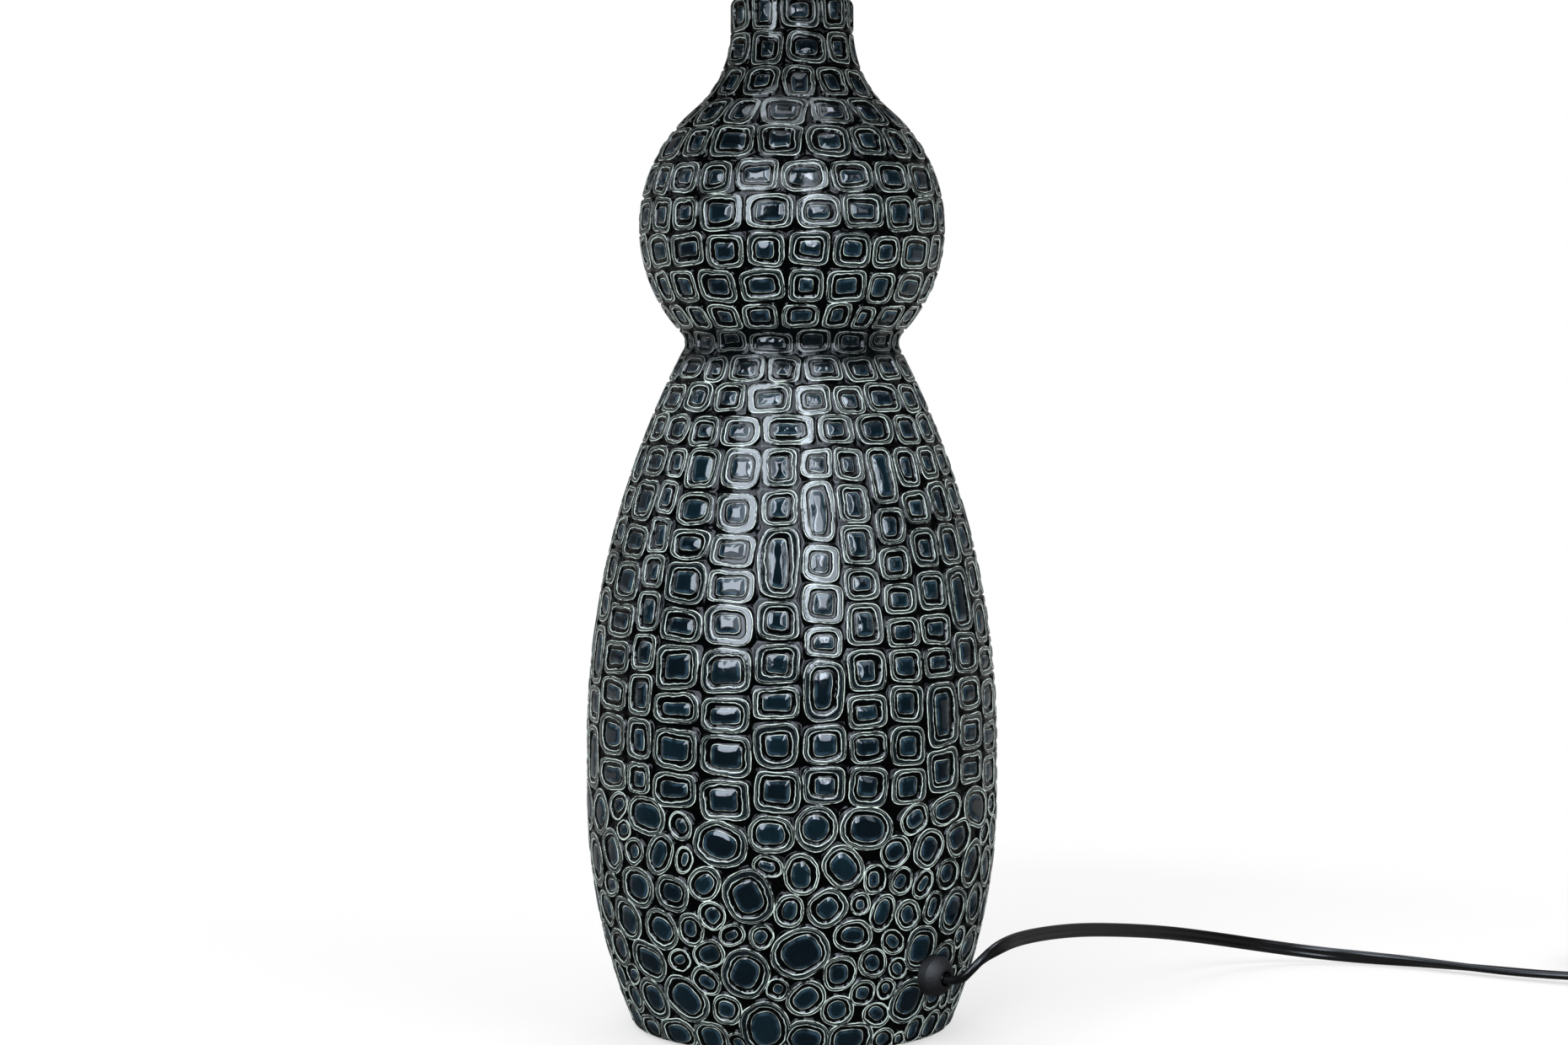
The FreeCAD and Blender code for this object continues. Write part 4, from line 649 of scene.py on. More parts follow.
def pebble_cells(chance, radius_at, low, high_at):
    """Pebbles of mixed size, spread by moving each to the middle of its own patch."""
    belt = BELLY_RADIUS * 0.95
    round_about = TAU * belt
    spots = chance.uniform((0, low), (round_about, PEBBLE_TOP), (PEBBLES, 2))
    weight = np.clip(chance.lognormal(0.0, 0.24, PEBBLES), 0.68, 1.45)
    across, up = np.meshgrid(
        np.arange(0, round_about, PEBBLE_SPOTS), np.arange(low, PEBBLE_TOP + 8, PEBBLE_SPOTS),
    )
    samples = np.stack([across.ravel(), up.ravel()], 1)
    samples = samples[samples[:, 1] < np.array([high_at(a / belt) for a in samples[:, 0]])]
    for _ in range(PEBBLE_ROUNDS):
        apart = samples[:, None, :] - spots[None, :, :]
        apart[..., 0] = (apart[..., 0] + round_about / 2) % round_about - round_about / 2
        owner = np.argmin(np.hypot(apart[..., 0], apart[..., 1]) / weight, axis=1)
        moved = apart[np.arange(len(samples)), owner]
        for index in range(PEBBLES):
            mine = moved[owner == index]
            if len(mine):
                spots[index] += mine.mean(0)
    cells = []
    for index in range(PEBBLES):
        mine = moved[owner == index]
        if len(mine) < 6:
            continue
        spread, axes = np.linalg.eigh(np.cov(mine.T))
        half = 2 * np.sqrt(spread[::-1]) * 0.95 - GAP / 2
        lean = math.atan2(axes[1, 1], axes[0, 1])
        stretch = radius_at(spots[index, 1]) / belt
        cells.append(Cell(
            chance, spots[index, 0] / belt, spots[index, 1], half[0] * (stretch + 1) / 2, half[1],
            lean=lean, power=chance.uniform(2.0, 2.4), round_cell=True,
        ))
    return cells


def wander(chance, points, wavelength):
    """A smooth random field of about unit size over points in millimetres."""
    x, y, z = points[..., 0], points[..., 1], points[..., 2]
    total = np.zeros_like(x)
    for _ in range(WAVES):
        way = chance.normal(size=3)
        way *= TAU / wavelength * chance.uniform(0.7, 1.4) / np.linalg.norm(way)
        total += np.sin(way[0] * x + way[1] * y + way[2] * z + chance.uniform(0, TAU))
    return total / math.sqrt(WAVES / 2)


def smooth_step(low, high, value):
    share = np.clip((value - low) / (high - low), 0, 1)
    return share * share * (3 - 2 * share)


def inward(x, y, half, power):
    """Distance in from a rounded outline: positive inside, in millimetres."""
    a = np.abs(x) / half[0] + 1e-9
    b = np.abs(y) / half[1] + 1e-9
    level = (a**power + b**power) ** (1 / power)
    steepness = np.hypot(a ** (power - 1) / half[0], b ** (power - 1) / half[1])
    return (1 - level) / (level ** (1 - power) * steepness)


# What the fields hold where no cell reaches
OUTSIDE = -9.0

# Levels of the relief, in millimetres from the plain side
BAND_LEVEL = -0.1
MOAT_LEVEL = -1.1
PAD_LEVEL = -0.7
PAD_CROWN = 0.68


def cell_fields(cells, up, radius, sway, ragged):
    """How far in every point of the side lies from its cell's edge, moat and pad.

    Also gives the chance value and the slant of its cell. Where cells meet, a point belongs to
    the one that it lies deeper in.
    """
    shape = ragged.shape
    steps = shape[1]
    edge, moat, pad = [np.full(shape, OUTSIDE) for _ in range(3)]
    luck, slant = np.zeros(shape), np.zeros(shape)
    turn_step = TAU / steps
    for cell in cells:
        reach = float(np.hypot(*cell.half)) + 3.0
        rows = np.nonzero(np.abs(up - cell.up) < reach)[0]
        if not len(rows):
            continue
        first, last = rows[0], rows[-1] + 1
        half_turn = reach / max(8.0, radius[first:last].min())
        middle = round(cell.angle / turn_step)
        span = min(steps // 2, int(half_turn / turn_step) + 1)
        columns = np.arange(middle - span, middle + span + 1)
        window = np.ix_(np.arange(first, last), columns % steps)
        across = (columns * turn_step - cell.angle) * radius[first:last, None] + sway[0][window]
        upwards = (up[first:last] - cell.up)[:, None] + sway[1][window]
        cos, sin = math.cos(cell.lean), math.sin(cell.lean)
        x = across * cos + upwards * sin
        y = upwards * cos - across * sin
        outer = inward(x, y, cell.half, cell.power)
        inner = inward(
            x - cell.shift[0] + cell.twist * y, y - cell.shift[1] - cell.twist * x,
            np.maximum(cell.half - cell.band, 1.2), cell.power * 1.05,
        )
        core = inward(
            x - cell.shift[2], y - cell.shift[3],
            np.maximum(cell.half - cell.moat, 0.9), cell.power * 1.15,
        )
        leaning = cell.tilt[0] * x + cell.tilt[1] * y
        better = outer > edge[window]
        for field, value in (
            (edge, outer), (moat, inner + ragged[window]), (pad, core),
            (luck, cell.chance), (slant, leaning),
        ):
            field[window] = np.where(better, value, field[window])
    return edge, moat, pad, luck, slant


def pressed(up, edge, moat, pad, slant, ragged):
    """The relief in millimetres, from grooves to pads; it fades out at the foot and the rim."""
    fade = smooth_step(0.0, 2.5, up[-1] - RIM_ROUND * 0.35 - up)[:, None]
    fade = fade * smooth_step(-6.0, -2.0, up)[:, None]
    crown = PAD_CROWN * smooth_step(-0.4, 3.0, pad)
    relief = -GROOVE_DEPTH + GROOVE_SLOPE * np.clip(edge + 0.4, -1.6, 0)
    for level, field, low, high in (
        (BAND_LEVEL, edge, -0.65, 0.35), (MOAT_LEVEL, moat, -0.3, 0.5),
        (PAD_LEVEL + crown + slant, pad, -0.5, 0.4),
    ):
        relief = relief + smooth_step(low, high, field) * (level - relief)
    relief = relief + 0.05 * ragged
    return np.minimum(relief, 0.0) * fade


def ceramic():
    """The gourd with its pattern pressed in, and the values that its glaze reads."""
    chance = np.random.default_rng(SEED)
    radius, height, normal, up = side_line()
    angle = np.arange(ROUND_STEPS) * TAU / ROUND_STEPS
    swing = chance.uniform(0, TAU, 3)

    def radius_at(distance):
        return float(np.interp(distance, up, radius))

    def seam_at(turn):
        """How far up the pebbles end and the columns start."""
        slow = 3.0 * math.sin(3 * turn + swing[0])
        return PEBBLE_TOP + 5.0 + slow + 2.5 * math.sin(7 * turn + swing[1])

    level = up[-1] - RIM_ROUND * 0.4 - sum(row_height for row_height, _ in ROWS)
    cells = stacked_cells(chance, radius_at, seam_at, level)
    for row_height, count in ROWS:
        cells += row_cells(chance, radius_at, level, row_height, count)
        level += row_height
    cells += pebble_cells(chance, radius_at, up[0] + 1.0, seam_at)

    plain = around(radius[:, None], height[:, None], angle)

    def stray(*waves):
        """A random field over the side: waves of a size and a length in millimetres, added."""
        return sum(size * wander(chance, plain, length) for size, length in waves)

    sway = [stray((0.24, 14.0), (0.05, 4.0)) for _ in range(2)]
    ragged = stray((0.1, 5.5), (0.05, 2.4))
    edge, moat, pad, luck, slant = cell_fields(cells, up, radius, sway, ragged)
    relief = pressed(up, edge, moat, pad, slant, ragged)

    pressed_radius = radius[:, None] + relief * normal[:, :1]
    pressed_height = height[:, None] + relief * normal[:, 1:] + FOOT_LIFT
    side = around(pressed_radius, pressed_height, angle)
    seat_bushing(side)

    top = BODY_HEIGHT + FOOT_LIFT
    foot = [(REBATE_RADIUS, FOOT_LIFT + REBATE_DEPTH), (REBATE_RADIUS, FOOT_LIFT)]
    rim = [(NECK_BORE + 0.4, top), (NECK_BORE, top - 0.5), (NECK_BORE, top - BORE_DEPTH)]

    def rings(pairs):
        return around(*np.array(pairs).T[:, :, None], angle)

    # Two middles, each in a fan of faces, close the foot's first ring and the rim's last
    middles = [(0, 0, foot[0][1]), (0, 0, rim[-1][1])]
    grid = np.concatenate([rings(foot), side, rings(rim)])
    index = np.arange(grid.size // 3).reshape(grid.shape[:2])
    low, high = index[0], index[-1]
    fans = np.concatenate([
        np.stack([np.roll(low, -1), low, np.full(ROUND_STEPS, index.size)], 1),
        np.stack([high, np.roll(high, -1), np.full(ROUND_STEPS, index.size + 1)], 1),
    ])
    points = np.concatenate([grid.reshape(-1, 3), middles]) * MM
    piece = new_piece("ceramic_glazed", points, tube_faces(len(grid), ROUND_STEPS), fans)

    # The foot's rings come before the side's points, and the rim's rings and both middles after
    before, after = len(foot) * ROUND_STEPS, len(rim) * ROUND_STEPS + 2
    for name, field, beyond in (
        ("edge", edge, 3.0), ("moat", moat, -3.0), ("pad", pad, -3.0), ("chance", luck, 0.0),
    ):
        values = [np.full(before, beyond), field.ravel(), np.full(after, beyond)]
        keep_values(piece, name, np.concatenate(values))
    outwards = around(normal[:, :1], normal[:, 1:], angle).reshape(-1, 3)
    down, upright = np.tile([0.0, 0.0, -1.0], (before, 1)), np.tile([0.0, 0.0, 1.0], (after, 1))
    sides = np.concatenate([down, outwards, upright])
    layer = piece.data.attributes.new("side", "FLOAT_VECTOR", "POINT")
    layer.data.foreach_set("vector", sides.astype(np.float32).ravel())
    return piece


# Cord exit, in millimetres and radians
EXIT_AZIMUTH = math.radians(-43.0)
EXIT_HEIGHT = 31.2
EXIT_LEAN = math.radians(5.0)
EXIT_RADIUS = 78.6
SEAT_RADIUS = 8.8


def exit_line():
    """Where the bushing meets the wall, and the way that it points."""
    start = around(EXIT_RADIUS, EXIT_HEIGHT, EXIT_AZIMUTH)
    return start, around(math.cos(EXIT_LEAN), -math.sin(EXIT_LEAN), EXIT_AZIMUTH)


def seat_bushing(points):
    """Presses the wall back to a flat seat under the bushing's head."""
    start, way = exit_line()
    out = (points - start) @ way
    aside = np.linalg.norm(points - start - out[..., None] * way, axis=-1)
    near = (aside < SEAT_RADIUS) & (out > -1.0) & (out < 6.0)
    points[near] -= (out[near, None] + 0.05) * way


dress(ceramic(), "glazed_ceramic", "lamp", "ceramic_body")

# Cord: the same route as the CAD model's, in metres from the bushing on
CORD_WIDTH = 6.2 * MM
CORD_THICKNESS = 3.4 * MM
BUSHING_REACH = 8.5
FIRST_RUN = 6.0
LEAD_ROUTE = [
    (0.0725, -0.0660, 0.0340), (0.0785, -0.0645, 0.0402), (0.0870, -0.0545, 0.0436),
    (0.0960, -0.0330, 0.0428), (0.1100, -0.0040, 0.0400), (0.1270, 0.0290, 0.0356),
    (0.1480, 0.0650, 0.0292), (0.1720, 0.1000, 0.0220), (0.1970, 0.1260, 0.0147),
    (0.2220, 0.1395, 0.0088), (0.2470, 0.1425, 0.0049), (0.2710, 0.1380, 0.0033),
    (0.2930, 0.1275, 0.0032), (0.3150, 0.1135, 0.0032), (0.3380, 0.0985, 0.0033),
    (0.3605, 0.0865, 0.0039), (0.3840, 0.0800, 0.0045),
]
# From the coil's end: along, aside, and the share of the drop to the plug
TAIL_ROUTE = [
    (0.0160, 0.0, 0.15), (0.0320, -0.0092, 0.6), (0.0413, -0.0252, 1.0), (0.0413, -0.0412, 1.0),
]
# The coil: middle, outer radius, step from turn to turn, half turns to a layer, points to a half
# turn and height of the lower layer
COIL_X = 0.414
COIL_Y = 0.120
COIL_RADIUS = 0.040
COIL_PITCH = 6.9 * MM
COIL_HALF_TURNS = 5
COIL_SPOTS = 8
COIL_LOW = 4.5 * MM
PLUG_LEVEL = 8.0 * MM
# How far the cord's wide side rolls up, and between which distances it does so and lies down
ROLL = math.radians(82)
ROLL_UP = (0.006, 0.035)
ROLL_DOWN = (0.30, 0.40)


def coil_route():
    """Control points of the coil: in on the lower layer, up in a half turn, out on the upper."""
    outwards = 2 / (1.5 + 0.5 * math.cos(math.pi / COIL_SPOTS))
    centre = Vector((COIL_X, COIL_Y, COIL_LOW))
    radius = COIL_RADIUS
    route = [centre + Vector((-CORD_WIDTH, -radius, 0)), centre + Vector((0, -radius, 0))]
    for half_turn in range(2 * COIL_HALF_TURNS + 2):
        toward = 1 if half_turn % 2 == 0 else -1
        climb = COIL_PITCH if half_turn == COIL_HALF_TURNS else 0.0
        for spot in range(COIL_SPOTS):
            angle = math.pi * (spot + 0.5) / COIL_SPOTS
            lift = climb * (1 - math.cos(angle)) / 2
            out = radius * outwards
            route.append(centre + Vector((
                toward * out * math.sin(angle), -toward * out * math.cos(angle), lift,
            )))
        end = centre + Vector((0, toward * radius, climb))
        radius += -COIL_PITCH / 2 if half_turn < COIL_HALF_TURNS else COIL_PITCH / 2
        centre = Vector((COIL_X, end.y - toward * radius, end.z))
    route.append(end)
    return route, end + Vector((CORD_WIDTH, 0, 0))


def cord_route():
    """Control points from the bushing to the plug."""
    start, way = exit_line()
    exit_point = Vector(start + way * BUSHING_REACH) * MM
    route = [exit_point, exit_point + Vector(way) * FIRST_RUN * MM]
    route += [Vector(p) for p in LEAD_ROUTE]
    turns, coil_end = coil_route()
    route += turns
    route.append(coil_end)
    drop = coil_end.z - PLUG_LEVEL
    route += [coil_end + Vector((x, y, -drop * share)) for x, y, share in TAIL_ROUTE]
    return route


def smooth_line(name, route):
    """Points read from a NURBS spline that has the route as its control points."""
    curve = bpy.data.curves.new(name, "CURVE")
    curve.dimensions = "3D"
    curve.resolution_u = 8
    spline = curve.splines.new("NURBS")
    spline.points.add(len(route) - 1)
    for point, place in zip(spline.points, route):
        point.co = (*place, 1.0)
    spline.order_u = 3
    spline.use_endpoint_u = True
    holder = link(bpy.data.objects.new(name, curve))
    bpy.context.view_layer.update()
    mesh = bpy.data.meshes.new_from_object(holder)
    points = [v.co.copy() for v in mesh.vertices]
    bpy.data.objects.remove(holder)
    bpy.data.curves.remove(curve)
    bpy.data.meshes.remove(mesh)
    return points


def twin_section():
    """The flat cord's section: two round conductors joined by a thin web."""
    steps = 14
    lobe = CORD_THICKNESS / 2
    middle = CORD_WIDTH / 2 - lobe
    waist = math.acos(min(1.0, (middle - 0.12 * lobe) / lobe))
    sweep = TAU - 2 * waist
    angles = [(-math.pi + waist) + sweep * i / (steps - 1) for i in range(steps)]
    right = [(middle + lobe * math.cos(a), lobe * math.sin(a)) for a in angles]
    left = [(-x, -y) for x, y in right]
    return right + left


def roll_of(distance):
    """How the cord's wide side stands: flat at the exit, upright in the arch, flat in the coil."""
    upright = smooth_step(*ROLL_UP, distance)
    down = smooth_step(*ROLL_DOWN, distance)
    return ROLL * float(upright * (1 - down))


def flat_cord(name, points, roll_at):
    """A twin-lobed tube along points, level across except where it rolls, and its length."""
    section = twin_section()
    ring = len(section)
    lengths = [0.0]
    for a, b in zip(points, points[1:]):
        lengths.append(lengths[-1] + (b - a).length)
    vertices = []
    across = None
    for index, point in enumerate(points):
        before = points[max(0, index - 1)]
        after = points[min(len(points) - 1, index + 1)]
        ahead = (after - before).normalized()
        level = ahead.cross(Vector((0, 0, 1))).normalized()
        across = level if across is None or level.dot(across) > -0.5 else -level
        above = across.cross(ahead).normalized()
        roll = roll_at(lengths[index])
        side = across * math.cos(roll) + above * math.sin(roll)
        thick = above * math.cos(roll) - across * math.sin(roll)
        vertices += [point + side * u + thick * v for u, v in section]
    ends = [range(ring)[::-1], range(len(vertices) - ring, len(vertices))]
    return new_piece(name, vertices, tube_faces(len(points), ring), ends), lengths[-1]


cord_points = smooth_line("cord_line", cord_route())
cord, cord_length = flat_cord("cord_flat_twin", cord_points, roll_of)
dress(cord, "cord_jacket", "lamp", "cord_lead", "cord_coil", "cord_tail")

# The plug's tapered strain relief: where it starts in metres, its radius there, how that grows,
# and its ribs' places along it and section (out and along) in millimetres
PLUG_ENTRY = Vector((0.4615, 0.0388, 0.0080))
RELIEF_TIP = 4.4
RELIEF_SLOPE = 0.08
RIBS = [1.5, 4.5, 7.5, 10.5, 13.5, 16.5]
RIB_SECTION = [(-0.4, -0.9), (0.35, -0.75), (0.65, -0.3), (0.7, 0.1), (0.45, 0.65), (-0.4, 0.9)]


def relief_ribs():
    """Raised rings round the taper, each a low rounded band."""
    place = Matrix.Translation(PLUG_ENTRY) @ Matrix.Rotation(math.radians(90), 4, "X")
    ribs = []
    for number, along in enumerate(RIBS):
        radius = RELIEF_TIP + RELIEF_SLOPE * along
        profile = [(radius + out, along + ahead) for out, ahead in RIB_SECTION]
        rib = turned_piece(f"relief_rib_{number + 1}", profile, steps=48, place=place)
        ribs.append(dress(rib, "black_plastic", "lamp"))
    return ribs


relief_ribs()

# The lead inside the lamp: distance from the axis and height in millimetres, and top in metres
INNER_REACH = 33.2
INNER_ROUTE = [(42.0, 31.0), (27.0, 18.0), (13.0, 9.5), (2.0, 14.5), (0.0, 28.0)]
INNER_TOP = 0.4772


def inner_route():
    """Control points from inside the bushing through the foot and up to the lampholder."""
    start, way = exit_line()
    route = [Vector(start + way * (BUSHING_REACH - back)) * MM for back in (0.1, INNER_REACH)]
    route += [Vector(around(*spot, EXIT_AZIMUTH)) * MM for spot in INNER_ROUTE]
    return route + [Vector((0, 0, INNER_TOP))]


inner_points = smooth_line("inner_line", inner_route())
inner, _ = flat_cord("inner_twin", inner_points, lambda distance: 0.0)
dress(inner, "cord_jacket", "lamp", "inner_lead")

# Felt pad under the foot, in millimetres, with a ring of points half-way across it
FELT_RADIUS = 61.4
FELT_HOLE = 5.0
FELT_MIDDLE = 30.0
FELT_THICKNESS = 1.6
felt_profile = [
    (FELT_HOLE, 0.2), (FELT_HOLE + 0.3, 0.0), (FELT_MIDDLE, 0.0), (FELT_RADIUS - 0.6, 0.0),
    (FELT_RADIUS - 0.1, 0.4), (FELT_RADIUS - 0.1, 1.2), (FELT_RADIUS - 0.6, FELT_THICKNESS),
    (FELT_MIDDLE, FELT_THICKNESS), (FELT_HOLE + 0.3, FELT_THICKNESS), (FELT_HOLE, 1.4),
]
felt_pad = turned_piece("felt_disc", felt_profile, uneven=0.15)
dress(felt_pad, "felt", "lamp", "felt_pad")

# Shade, in millimetres: a cone whose cloth was cut flat, as part of a ring
SHADE_LOW = np.array([190.0, 470.41])
SHADE_HIGH = np.array([140.0, 715.41])
SHADE_WALL = 1.2
SHADE_STEPS = 480
SHADE_ROWS = 64
SEAM_TURN = math.pi / 2
SEAM_HALF = 5.0
SEAM_PROUD = 0.5
SEAM_INSET = 6.0
SHADE_SLANT = float(np.hypot(*(SHADE_HIGH - SHADE_LOW)))
SHADE_ALONG = (SHADE_HIGH - SHADE_LOW) / SHADE_SLANT
SHADE_OUT = np.array([SHADE_ALONG[1], -SHADE_ALONG[0]])
CUT_OUTER = SHADE_LOW[0] * SHADE_SLANT / (SHADE_LOW[0] - SHADE_HIGH[0])
CUT_TURN = TAU * SHADE_LOW[0] / CUT_OUTER
# A bias tape's threads run at 45 degrees
BIAS = 0.7071

# The trim's section round each ring: distance from the edge and out from the wall
TRIM_SECTION = [
    (9.0, 0.02), (9.0, 0.38), (8.6, 0.5), (0.2, 0.55), (-0.45, 0.2), (-0.6, -1.0), (-0.6, -2.7),
    (-0.1, -3.9), (1.0, -4.5), (2.2, -4.3), (3.3, -3.2), (4.4, -1.95), (5.5, -1.72), (7.0, -1.6),
    (7.0, -1.2), (5.5, -1.25), (4.3, -1.45), (3.1, -2.85), (2.0, -3.85), (1.1, -4.12),
    (0.2, -3.7), (-0.12, -2.7), (-0.12, -1.0), (-0.05, 0.02),
]


def shade_wall():
    """The cloth outside and its lining inside, with the cloth's own threads as attributes."""
    chance = np.random.default_rng(SEED + 1)
    turns = np.arange(SHADE_STEPS) * TAU / SHADE_STEPS
    up = np.linspace(0, SHADE_SLANT, SHADE_ROWS)
    line = SHADE_LOW + up[:, None] * SHADE_ALONG
    angle = turns + SEAM_TURN
    radius, height = line[:, :1], line[:, 1:]
    plain = around(radius, height, angle)
    ripple = 0.12 * wander(chance, plain, 55.0) + 0.04 * wander(chance, plain, 17.0)
    calm = np.clip(np.minimum(up, SHADE_SLANT - up) / 14.0, 0, 1)[:, None]
    ripple = ripple * calm - 0.12
    outer = around(radius + ripple * SHADE_OUT[0], height + ripple * SHADE_OUT[1], angle)
    inner = around(radius - SHADE_WALL, height, angle)
    grid = np.concatenate([outer, inner[::-1]])
    faces = tube_faces(len(grid), SHADE_STEPS, closed=True)
    piece = new_piece("shade_cloth", grid.reshape(-1, 3) * MM, faces)
    face_outwards(piece)
    cut_radius = CUT_OUTER - up[:, None]
    cut_angle = (turns / TAU - 0.5)[None, :] * CUT_TURN
    for name, field in (
        ("warp", cut_radius * np.sin(cut_angle)), ("weft", cut_radius * np.cos(cut_angle)),
    ):
        keep_values(piece, name, np.concatenate([field, field[::-1]]))
    return piece


def shade_seam():
    """The cloth's lap at the back: a narrow strip with turned edges, from trim to trim."""
    share = np.array([-1.0, -0.97, -0.9, -0.5, 0.0, 0.5, 0.9, 0.97, 1.0])
    lift = [0.0, 0.6, 0.95, 1.0, 1.0, 1.0, 0.95, 0.6, 0.0]
    aside = np.concatenate([share, share[::-1]]) * SEAM_HALF
    out = np.array(lift + [-0.5] * len(share)) * SEAM_PROUD
    up = np.linspace(SEAM_INSET, SHADE_SLANT - SEAM_INSET, SHADE_ROWS)[:, None]
    radius, height = (SHADE_LOW + up * SHADE_ALONG).T[:, :, None]
    grid = around(
        radius + out * SHADE_OUT[0], height + out * SHADE_OUT[1], SEAM_TURN + aside / radius,
    )
    ring, count = len(out), grid.size // 3
    ends = [range(ring), range(count - ring, count)]
    points = grid.reshape(-1, 3) * MM
    piece = new_piece("shade_seam", points, tube_faces(SHADE_ROWS, ring), ends)
    face_outwards(piece)
    for name, values in (("warp", aside), ("weft", up)):
        keep_values(piece, name, np.broadcast_to(values, grid.shape[:2]))
    return piece


def shade_trim(name, edge, along):
    """A bias tape folded over the wall's edge and round the ring's wire."""
    profile = [tuple(edge + along * s + SHADE_OUT * out) for s, out in TRIM_SECTION]
    piece = turned_piece(name, profile, steps=SHADE_STEPS, uneven=0.06)
    across = np.repeat(np.arange(SHADE_STEPS) * TAU / SHADE_STEPS, len(profile)) * edge[0]
    sides = np.tile([s - out for s, out in TRIM_SECTION], SHADE_STEPS)
    keep_values(piece, "warp", (across + sides) * BIAS)
    keep_values(piece, "weft", (across - sides) * BIAS)
    return piece


cloth = dress(shade_wall(), "shade_linen", "shade", "shade_fabric")
cloth.data.materials.append(MATERIALS["shade_lining"])
for face in cloth.data.polygons:
    outwards = Vector((face.center.x, face.center.y, 0)).normalized()
    face.material_index = 1 if face.normal.dot(outwards) < -0.5 else 0
seam = dress(shade_seam(), "shade_linen", "shade")
trims = [
    dress(shade_trim("shade_trim_bottom", SHADE_LOW, SHADE_ALONG), "shade_linen", "shade"),
    dress(shade_trim("shade_trim_top", SHADE_HIGH, -SHADE_ALONG), "shade_linen", "shade"),
]


# Floor, world, lights and camera, in metres

WHITE = (1.0, 1.0, 1.0, 1.0)
FLOOR_HALF = 30.0
# How bright the world looks to matt surfaces, where 1 is the white that the camera sees
EVEN_LIGHT = 0.6

# The middle of what the lights aim at
AIM = Vector((0.0, 0.0, 0.25))
MIRRORED_TINT = (0.87, 0.97, 1.11)
# Lights that show in polished surfaces only: azimuth, elevation, distance, width, height and
# radiance, which is how bright the light's face looks, where 1 is plain white
MIRRORED = {
    "left_box": (-32, 30, 1.9, 0.8, 1.75, 7.5),
    "right_box": (19, 30, 2.1, 0.72, 1.9, 5.0),
    "right_core": (11.5, 28, 2.0, 0.26, 1.7, 8.0),
    "side_strip": (54, 25, 2.0, 0.34, 1.4, 1.6),
    "top_box": (10, 80, 1.8, 1.4, 1.2, 1.5),
    "side_left": (-100, 25, 2.0, 0.3, 1.4, 1.4),
    "back_left": (-140, 60, 1.9, 0.9, 1.3, 3.5),
    "back_right": (145, 60, 2.1, 0.7, 1.3, 3.5),
}
# Lights that matt surfaces alone receive
MATT = {
    "key": (-24, 42, 2.2, 1.3, 1.3, 5.2),
    "fill": (50, 30, 2.2, 1.3, 1.3, 2.4),
    "back_fill": (180, 45, 2.2, 1.6, 1.2, 2.4),
}

# The photograph's camera: focal length on a sensor 36 mm wide, place and downward pitch
LENS = 78.58
SENSOR = 36.0
EYE = (-0.0034, -1.4616, 0.2954)
PITCH = 3.1017


def ray_kinds(n):
    """The light path's outputs, and whether the camera or clear glass sees the surface."""
    rays = n.add("LightPath").outputs
    return rays, n.math("MAXIMUM", rays["Is Camera Ray"], rays["Is Transmission Ray"])


def stage():
    """A white floor that keeps the lamp's shadow near it and runs on as plain white."""
    corners = np.array([(-1, -1, 0), (1, -1, 0), (1, 1, 0), (-1, 1, 0)])
    floor = new_piece("floor", corners * FLOOR_HALF, [(0, 1, 2, 3)], smooth=False)
    n = Surface("floor")
    n.shade({
        "Base Color": (0.93, 0.93, 0.93, 1.0), "Roughness": 0.9, "Specular IOR Level": 0.0,
    })
    rays, seen = ray_kinds(n)
    place = n.add("TexCoord").outputs["Object"]
    length = n.add("VectorMath", {0: place}, operation="LENGTH").outputs["Value"]
    depth = n.add("SeparateXYZ", {"Vector": place}).outputs["Y"]
    strength = n.math("MAXIMUM", seen, n.ramp(depth, -0.12, 0.35, 0.04, 0.3))
    white = n.add("Emission", {"Color": WHITE, "Strength": strength}).outputs[0]
    share = n.times(seen, n.math("MAXIMUM", n.ramp(length, 0.25, 0.6), 0.6))
    share = n.math("MAXIMUM", share, rays["Is Glossy Ray"])
    blend = n.add("MixShader", {"Fac": share, 1: n.shader.outputs[0], 2: white})
    n.feed(n.tree.nodes["Material Output"].inputs["Surface"], blend.outputs[0])
    floor.data.materials.append(MATERIALS["floor"])


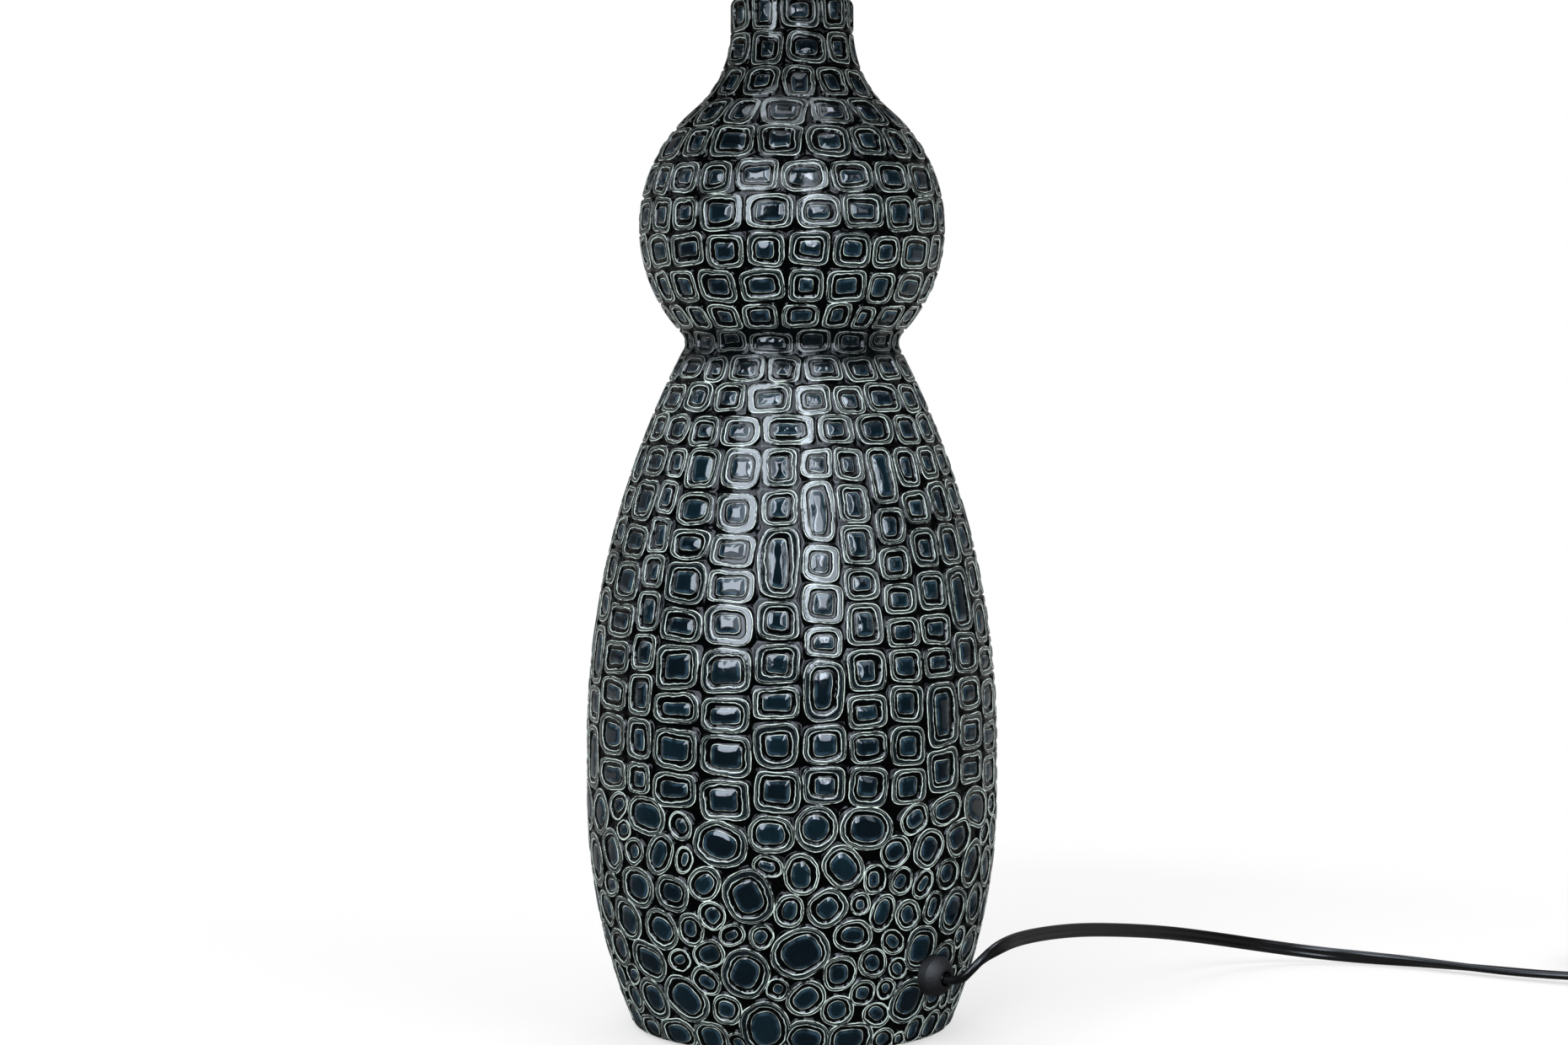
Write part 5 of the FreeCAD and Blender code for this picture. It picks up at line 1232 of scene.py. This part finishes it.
def world():
    """A studio: a white sweep behind the lamp, a darker room in front of it.

    The camera and clear glass see plain white all round, and matt surfaces get an even light.
    Polished surfaces see the sweep.
    """
    studio = bpy.context.scene.world = bpy.data.worlds.new("studio")
    studio.use_nodes = True
    n = Nodes(studio.node_tree)
    rays, seen = ray_kinds(n)
    way = n.add("SeparateXYZ", {"Vector": n.add("TexCoord").outputs["Generated"]}).outputs
    sweep = n.ramp(way["Y"], 0.0, 0.9, 0.03, 0.16)
    ceiling = n.ramp(way["Z"], 0.5, 1.0, 0.0, 0.2)
    level = n.math("MAXIMUM", n.math("ADD", sweep, ceiling), seen)
    level = n.math("MAXIMUM", level, n.times(rays["Is Diffuse Ray"], EVEN_LIGHT))
    background = n.tree.nodes["Background"].inputs
    n.feed(background["Color"], WHITE)
    n.feed(background["Strength"], level)


def softbox(name, mirrored, azimuth, elevation, distance, width, height, radiance):
    """An area light. Azimuth 0 is at the camera's side of the lamp and grows to the right."""
    light = bpy.data.lights.new(name, "AREA")
    light.shape = "RECTANGLE"
    light.size = width
    light.size_y = height
    light.energy = radiance * math.pi * width * height
    light.color = MIRRORED_TINT if mirrored else WHITE[:3]
    lamp = link(bpy.data.objects.new(name, light))
    lamp.visible_glossy = mirrored
    lamp.visible_diffuse = not mirrored
    turn, lift = math.radians(azimuth - 90), math.radians(elevation)
    lamp.location = AIM + distance * Vector(around(math.cos(lift), math.sin(lift), turn))
    lamp.rotation_euler = (AIM - lamp.location).to_track_quat("-Z", "Y").to_euler()


def camera():
    """The photograph's camera, and tones as they come."""
    data = bpy.data.cameras.new("camera")
    data.sensor_width = SENSOR
    data.lens = LENS
    eye = link(bpy.data.objects.new("camera", data))
    eye.location = EYE
    eye.rotation_euler = (math.radians(90 - PITCH), 0.0, 0.0)
    bpy.context.scene.camera = eye
    bpy.context.scene.view_settings.view_transform = "Standard"


stage()
world()
for mirrored, lights in ((True, MIRRORED), (False, MATT)):
    for name, settings in lights.items():
        softbox(name, mirrored, *settings)
camera()

bpy.context.view_layer.update()
